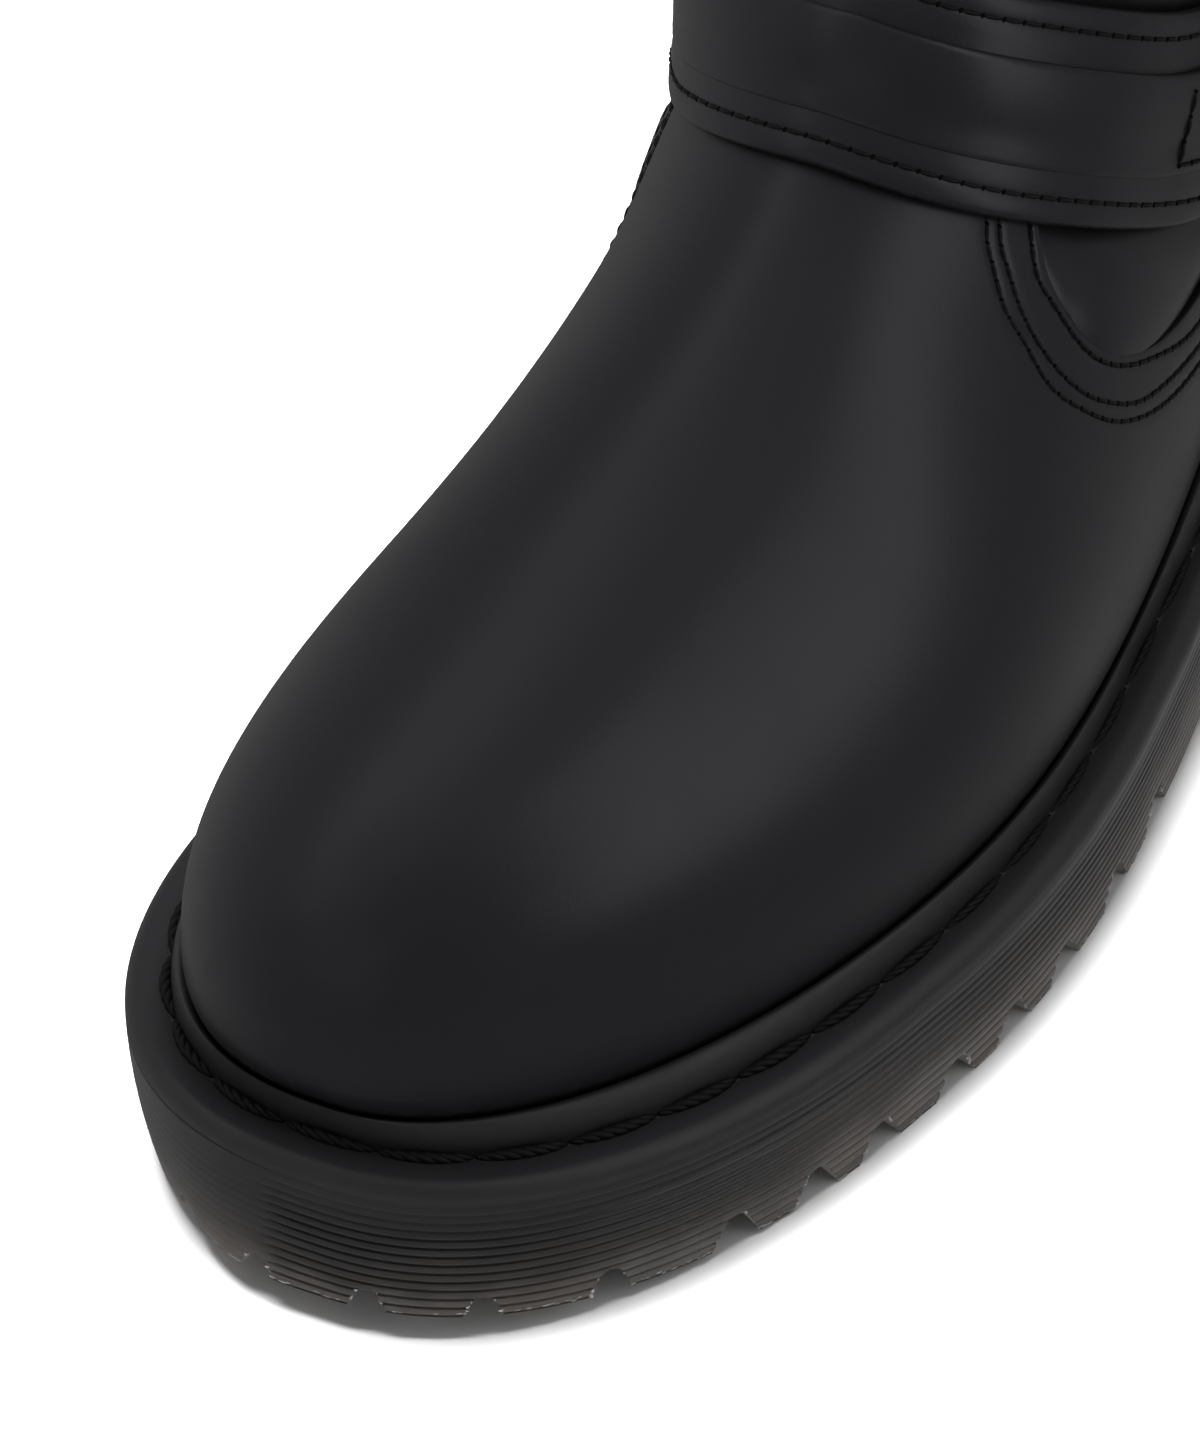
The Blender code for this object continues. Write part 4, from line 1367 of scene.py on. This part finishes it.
def build_flash():
    """Thin moulding flash: specks at the corners of the notches, a broken line under the lugs."""
    chance = np.random.default_rng(11)
    bundle = Bundle()
    upright = np.array((0.0, 0.0, 1.0))
    for way, roots in ((1, LATERAL_NOTCHES), (-1, MEDIAL_NOTCHES)):
        for place, outward, distance in rim_walk(roots, way, True):
            tuck = float(toe_tuck(distance)) if way < 0 else 0.0
            low = float(outsole_floor(place[0]))
            side = np.array([-outward[1], outward[0]])
            height, slope = notch_size(distance)
            for _ in range(8):
                depth = height * chance.uniform(0.0, 0.9) ** 0.5
                aside = chance.choice((-1.0, 1.0)) * notch_half(height, slope, depth)
                inset = WALL_DRAFT + tuck * (1 - depth / RIB_ZONE) ** 2 + chance.uniform(-0.05, 0.3)
                plan = place - outward * inset + side * aside
                at = np.array((plan[0], plan[1], low + depth))
                size = chance.uniform(0.12, 0.34)
                line = at + np.outer((-1.0, 0.0, 1.0), chance.normal(0, 0.6 * size, 3))
                bundle.tube(line, np.array((0.45, 1.0, 0.4)) * size, 6, upright)
        for place, outward, distance in rim_walk(np.arange(0.5, roots[-1], 0.8), way, True):
            near = min(roots, key=lambda root: abs(root - distance))
            if abs(near - distance) < notch_half(*notch_size(near), 0.0) or chance.uniform() < 0.35:
                continue
            tuck = float(toe_tuck(distance)) if way < 0 else 0.0
            plan = place - outward * (WALL_DRAFT + tuck - 0.06)
            low = float(outsole_floor(place[0]))
            at = np.array((plan[0], plan[1], low + chance.uniform(0.25, 0.7)))
            along = np.array((-outward[1], outward[0], 0.0)) * chance.uniform(0.25, 0.6)
            line = at + np.outer((-1.0, 0.0, 1.0), along)
            bundle.tube(line, np.array((0.5, 1.0, 0.5)) * chance.uniform(0.08, 0.17), 6, upright)
    return bundle.piece("sole_flash", FLASH, "outsole")


HEEL_HALF = 90


def heel_plan(inset):
    """The rim back of the breast line, from the back round the lateral side."""
    full = rim(400, WALL_DRAFT + inset)
    lateral = full[:401]
    medial = np.concatenate([full[:1], full[:399:-1]])
    share = 1 - np.cos(np.pi / 2 * np.linspace(0, 1, HEEL_HALF + 1))
    x = full[0, 0] + (HEEL_BREAST - full[0, 0]) * share
    one = np.column_stack([x, np.interp(x, lateral[:, 0], lateral[:, 1])])
    other = np.column_stack([x, np.interp(x, medial[:, 0], medial[:, 1])])
    return np.concatenate([one, other[:0:-1]])


def build_heel():
    rings = ribbed_rings(heel_plan, lambda x: outsole_floor(x) - GAP, lambda x: 0.0 * x,
                         HEEL_RIBS, HEEL_DRAFT)
    piece = ringed_piece("heel_rubber", rings, HEEL_HALF, SMOKE_AND_PAINTED_LIGHT, "heel", True)
    walks = rim_walk(HEEL_NOTCHES, 1, False) + rim_walk(HEEL_NOTCHES, -1, False)
    cut_notches(piece, walks, lambda x: 0.0)


def build_insole():
    half = 90
    rings = []
    edge = ((0.4, 0.0), (0.0, 0.5), (0.0, INSOLE - 0.8), (0.4, INSOLE - 0.2), (1.4, INSOLE))
    for inset, above in edge:
        plan = columns(offset_outward(foot_line(GAP), -WALL - 2.0 - inset), half)
        rings.append(with_heights(plan, seat(plan[:, 0]) + GAP + above))
    return ringed_piece("insole_leather", rings, half, LINING, "insole")


def face_outward():
    """Point every piece's faces outward."""
    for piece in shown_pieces():
        if "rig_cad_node" in piece:
            continue
        body = bmesh.new()
        body.from_mesh(piece.data)
        bmesh.ops.remove_doubles(body, verts=body.verts, dist=2e-6)
        bmesh.ops.dissolve_degenerate(body, dist=1e-7, edges=body.edges)
        bmesh.ops.recalc_face_normals(body, faces=body.faces)
        body.to_mesh(piece.data)
        body.free()


# Camera: directions in degrees from the toe towards the lateral side and above the floor.
CAMERA_TURN = 24.3
CAMERA_RISE = 45.4
CAMERA_DISTANCE = 2600.0
CAMERA_TARGET = (217.3, -7.0, 44.0)
IMAGE_HEIGHT = 1440
FOCAL_PIXELS = 19500.0
SENSOR = 36.0


def from_toe(turn, rise):
    turn = math.radians(turn)
    rise = math.radians(rise)
    return np.array((math.cos(rise) * math.cos(turn), math.cos(rise) * math.sin(turn), math.sin(rise)))


def place_camera():
    data = bpy.data.cameras.new("camera")
    data.sensor_width = SENSOR
    data.lens = FOCAL_PIXELS * SENSOR / IMAGE_HEIGHT
    data.clip_end = 100.0
    camera = add_object("camera", data)
    back = from_toe(CAMERA_TURN, CAMERA_RISE)
    camera.location = Vector((np.array(CAMERA_TARGET) - ORIGIN + back * CAMERA_DISTANCE) * MM)
    camera.rotation_mode = "QUATERNION"
    camera.rotation_quaternion = Vector(-back).to_track_quat("-Z", "Y")
    bpy.context.scene.camera = camera


# Soft lights: turn from the toe, rise and roll in degrees, distance and sizes in metres, watts.
LIGHTS = {
    "right_softbox": (98.0, 38.0, -25.0, 1.6, 0.7, 2.2, 4.6),
    "left_strip": (-106.0, 61.0, 0.0, 1.7, 4.4, 0.45, 3.5),
    "front_card": (-12.0, 18.0, 0.0, 1.6, 1.0, 1.0, 0.5),
    "top_card": (10.0, 75.0, 0.0, 1.8, 2.4, 2.0, 0.7),
    "overhead_fill": (-150.0, 75.0, 0.0, 1.8, 1.4, 1.4, 42.0),
    "floor_light": (-75.0, 82.0, 0.0, 1.8, 0.8, 0.8, 92.0),
}
DULL_LIGHTS = ("overhead_fill", "floor_light")
LIGHT_AIM = (190.0, 0.0, 60.0)


def floor_link(name, floor, state):
    """A collection that limits a light to the floor, or keeps its light off the floor."""
    linked = bpy.data.collections.new(name)
    linked.objects.link(floor)
    linked.collection_objects[0].light_linking.link_state = state
    return linked


def place_lights(floor):
    """Softboxes for the gloss, a fill from above for the boot, and a light for the floor alone."""
    receivers = {"overhead_fill": floor_link("all_but_floor", floor, "EXCLUDE"),
                 "floor_light": floor_link("floor_only", floor, "INCLUDE")}
    aim = (np.array(LIGHT_AIM) - ORIGIN) * MM
    for name, (turn, rise, roll, distance, wide, high, power) in LIGHTS.items():
        data = bpy.data.lights.new(name, "AREA")
        data.shape = "RECTANGLE"
        data.size = wide
        data.size_y = high
        data.energy = power
        lamp = add_object(name, data)
        direction = from_toe(turn, rise)
        lamp.location = Vector(aim + direction * distance)
        lamp.rotation_mode = "QUATERNION"
        facing = Vector(-direction).to_track_quat("-Z", "Y")
        lamp.rotation_quaternion = facing @ Quaternion((0.0, 0.0, 1.0), math.radians(roll))
        lamp.visible_glossy = name not in DULL_LIGHTS
        if name in receivers:
            lamp.light_linking.receiver_collection = receivers[name]


# Strength of the studio round the boot, and the direction of its brighter part low behind.
WORLD_DIM = 0.17
WORLD_MEDIAL = 0.33
WORLD_BEHIND = 0.12
LOW_BEHIND = (-0.64, 0.30, -0.707)


def place_world():
    """A dim studio, a little brighter low behind the boot and on its medial side."""
    world = bpy.data.worlds.new("studio")
    bpy.context.scene.world = world
    world.use_nodes = True
    sky = world.node_tree.nodes["Background"]
    sky.inputs["Color"].default_value = (1.0, 1.0, 1.0, 1.0)
    nodes = world.node_tree.nodes
    links = world.node_tree.links
    split = nodes.new("ShaderNodeSeparateXYZ")
    around = nodes.new("ShaderNodeTexCoord").outputs["Generated"]
    links.new(around, split.inputs["Vector"])
    spread = map_range(world.node_tree, split.outputs["Y"], -0.5, -1.0, WORLD_DIM, WORLD_MEDIAL)
    low_behind = nodes.new("ShaderNodeVectorMath")
    low_behind.operation = "DOT_PRODUCT"
    low_behind.inputs[1].default_value = LOW_BEHIND
    links.new(around, low_behind.inputs[0])
    behind = map_range(world.node_tree, low_behind.outputs["Value"], 0.8, 1.0, 0.0, WORLD_BEHIND)
    both = nodes.new("ShaderNodeMath")
    links.new(spread, both.inputs[0])
    links.new(behind, both.inputs[1])
    links.new(both.outputs["Value"], sky.inputs["Strength"])


# Half the floor's side, and from where to where it begins to glow, in metres.
FLOOR_HALF = 40.0
FLOOR_GLOW = (0.5, 2.0)


def place_floor():
    size = FLOOR_HALF
    mesh = bpy.data.meshes.new("floor")
    corners = [(-size, -size, 0.0), (size, -size, 0.0), (size, size, 0.0), (-size, size, 0.0)]
    mesh.from_pydata(corners, [], [(0, 1, 2, 3)])
    floor = add_object("floor", mesh)
    material, shader = principled("floor_white", (0.92, 0.92, 0.92), 0.9)
    away = add_node(material, "ShaderNodeVectorMath")
    away.operation = "LENGTH"
    join(material, object_place(material), away.inputs[0])
    glow = map_range(material.node_tree, away.outputs["Value"], *FLOOR_GLOW)
    shader.inputs["Emission Color"].default_value = (1.0, 1.0, 1.0, 1.0)
    join(material, glow, shader.inputs["Emission Strength"])
    mesh.materials.append(material)
    floor.visible_glossy = False
    return floor


build_shaft()
build_vamp()
build_cut_edge_and_shade()
build_base_strap()
FRONT = (clear_of_ring(-1.0, -0.6, -RING_ANGLE), clear_of_ring(1.0, 0.6, RING_ANGLE))
REAR = (clear_of_ring(1.0, 2.4, RING_ANGLE), 2 * math.pi + clear_of_ring(-1.0, -2.4, -RING_ANGLE))
build_top_strap("ankle_strap_front_leather", "ankle_strap_front", *FRONT, 200)
build_top_strap("ankle_strap_rear_leather", "ankle_strap_rear", *REAR, 200)
build_ring("ring_lateral_steel", "ring_lateral", 1.0)
build_ring("ring_medial_steel", "ring_medial", -1.0)
build_stitches()
build_welt()
build_welt_thread()
build_outsole()
build_flash()
build_heel()
build_insole()
face_outward()

place_camera()
place_lights(place_floor())
place_world()
bpy.context.scene.view_settings.view_transform = "Standard"
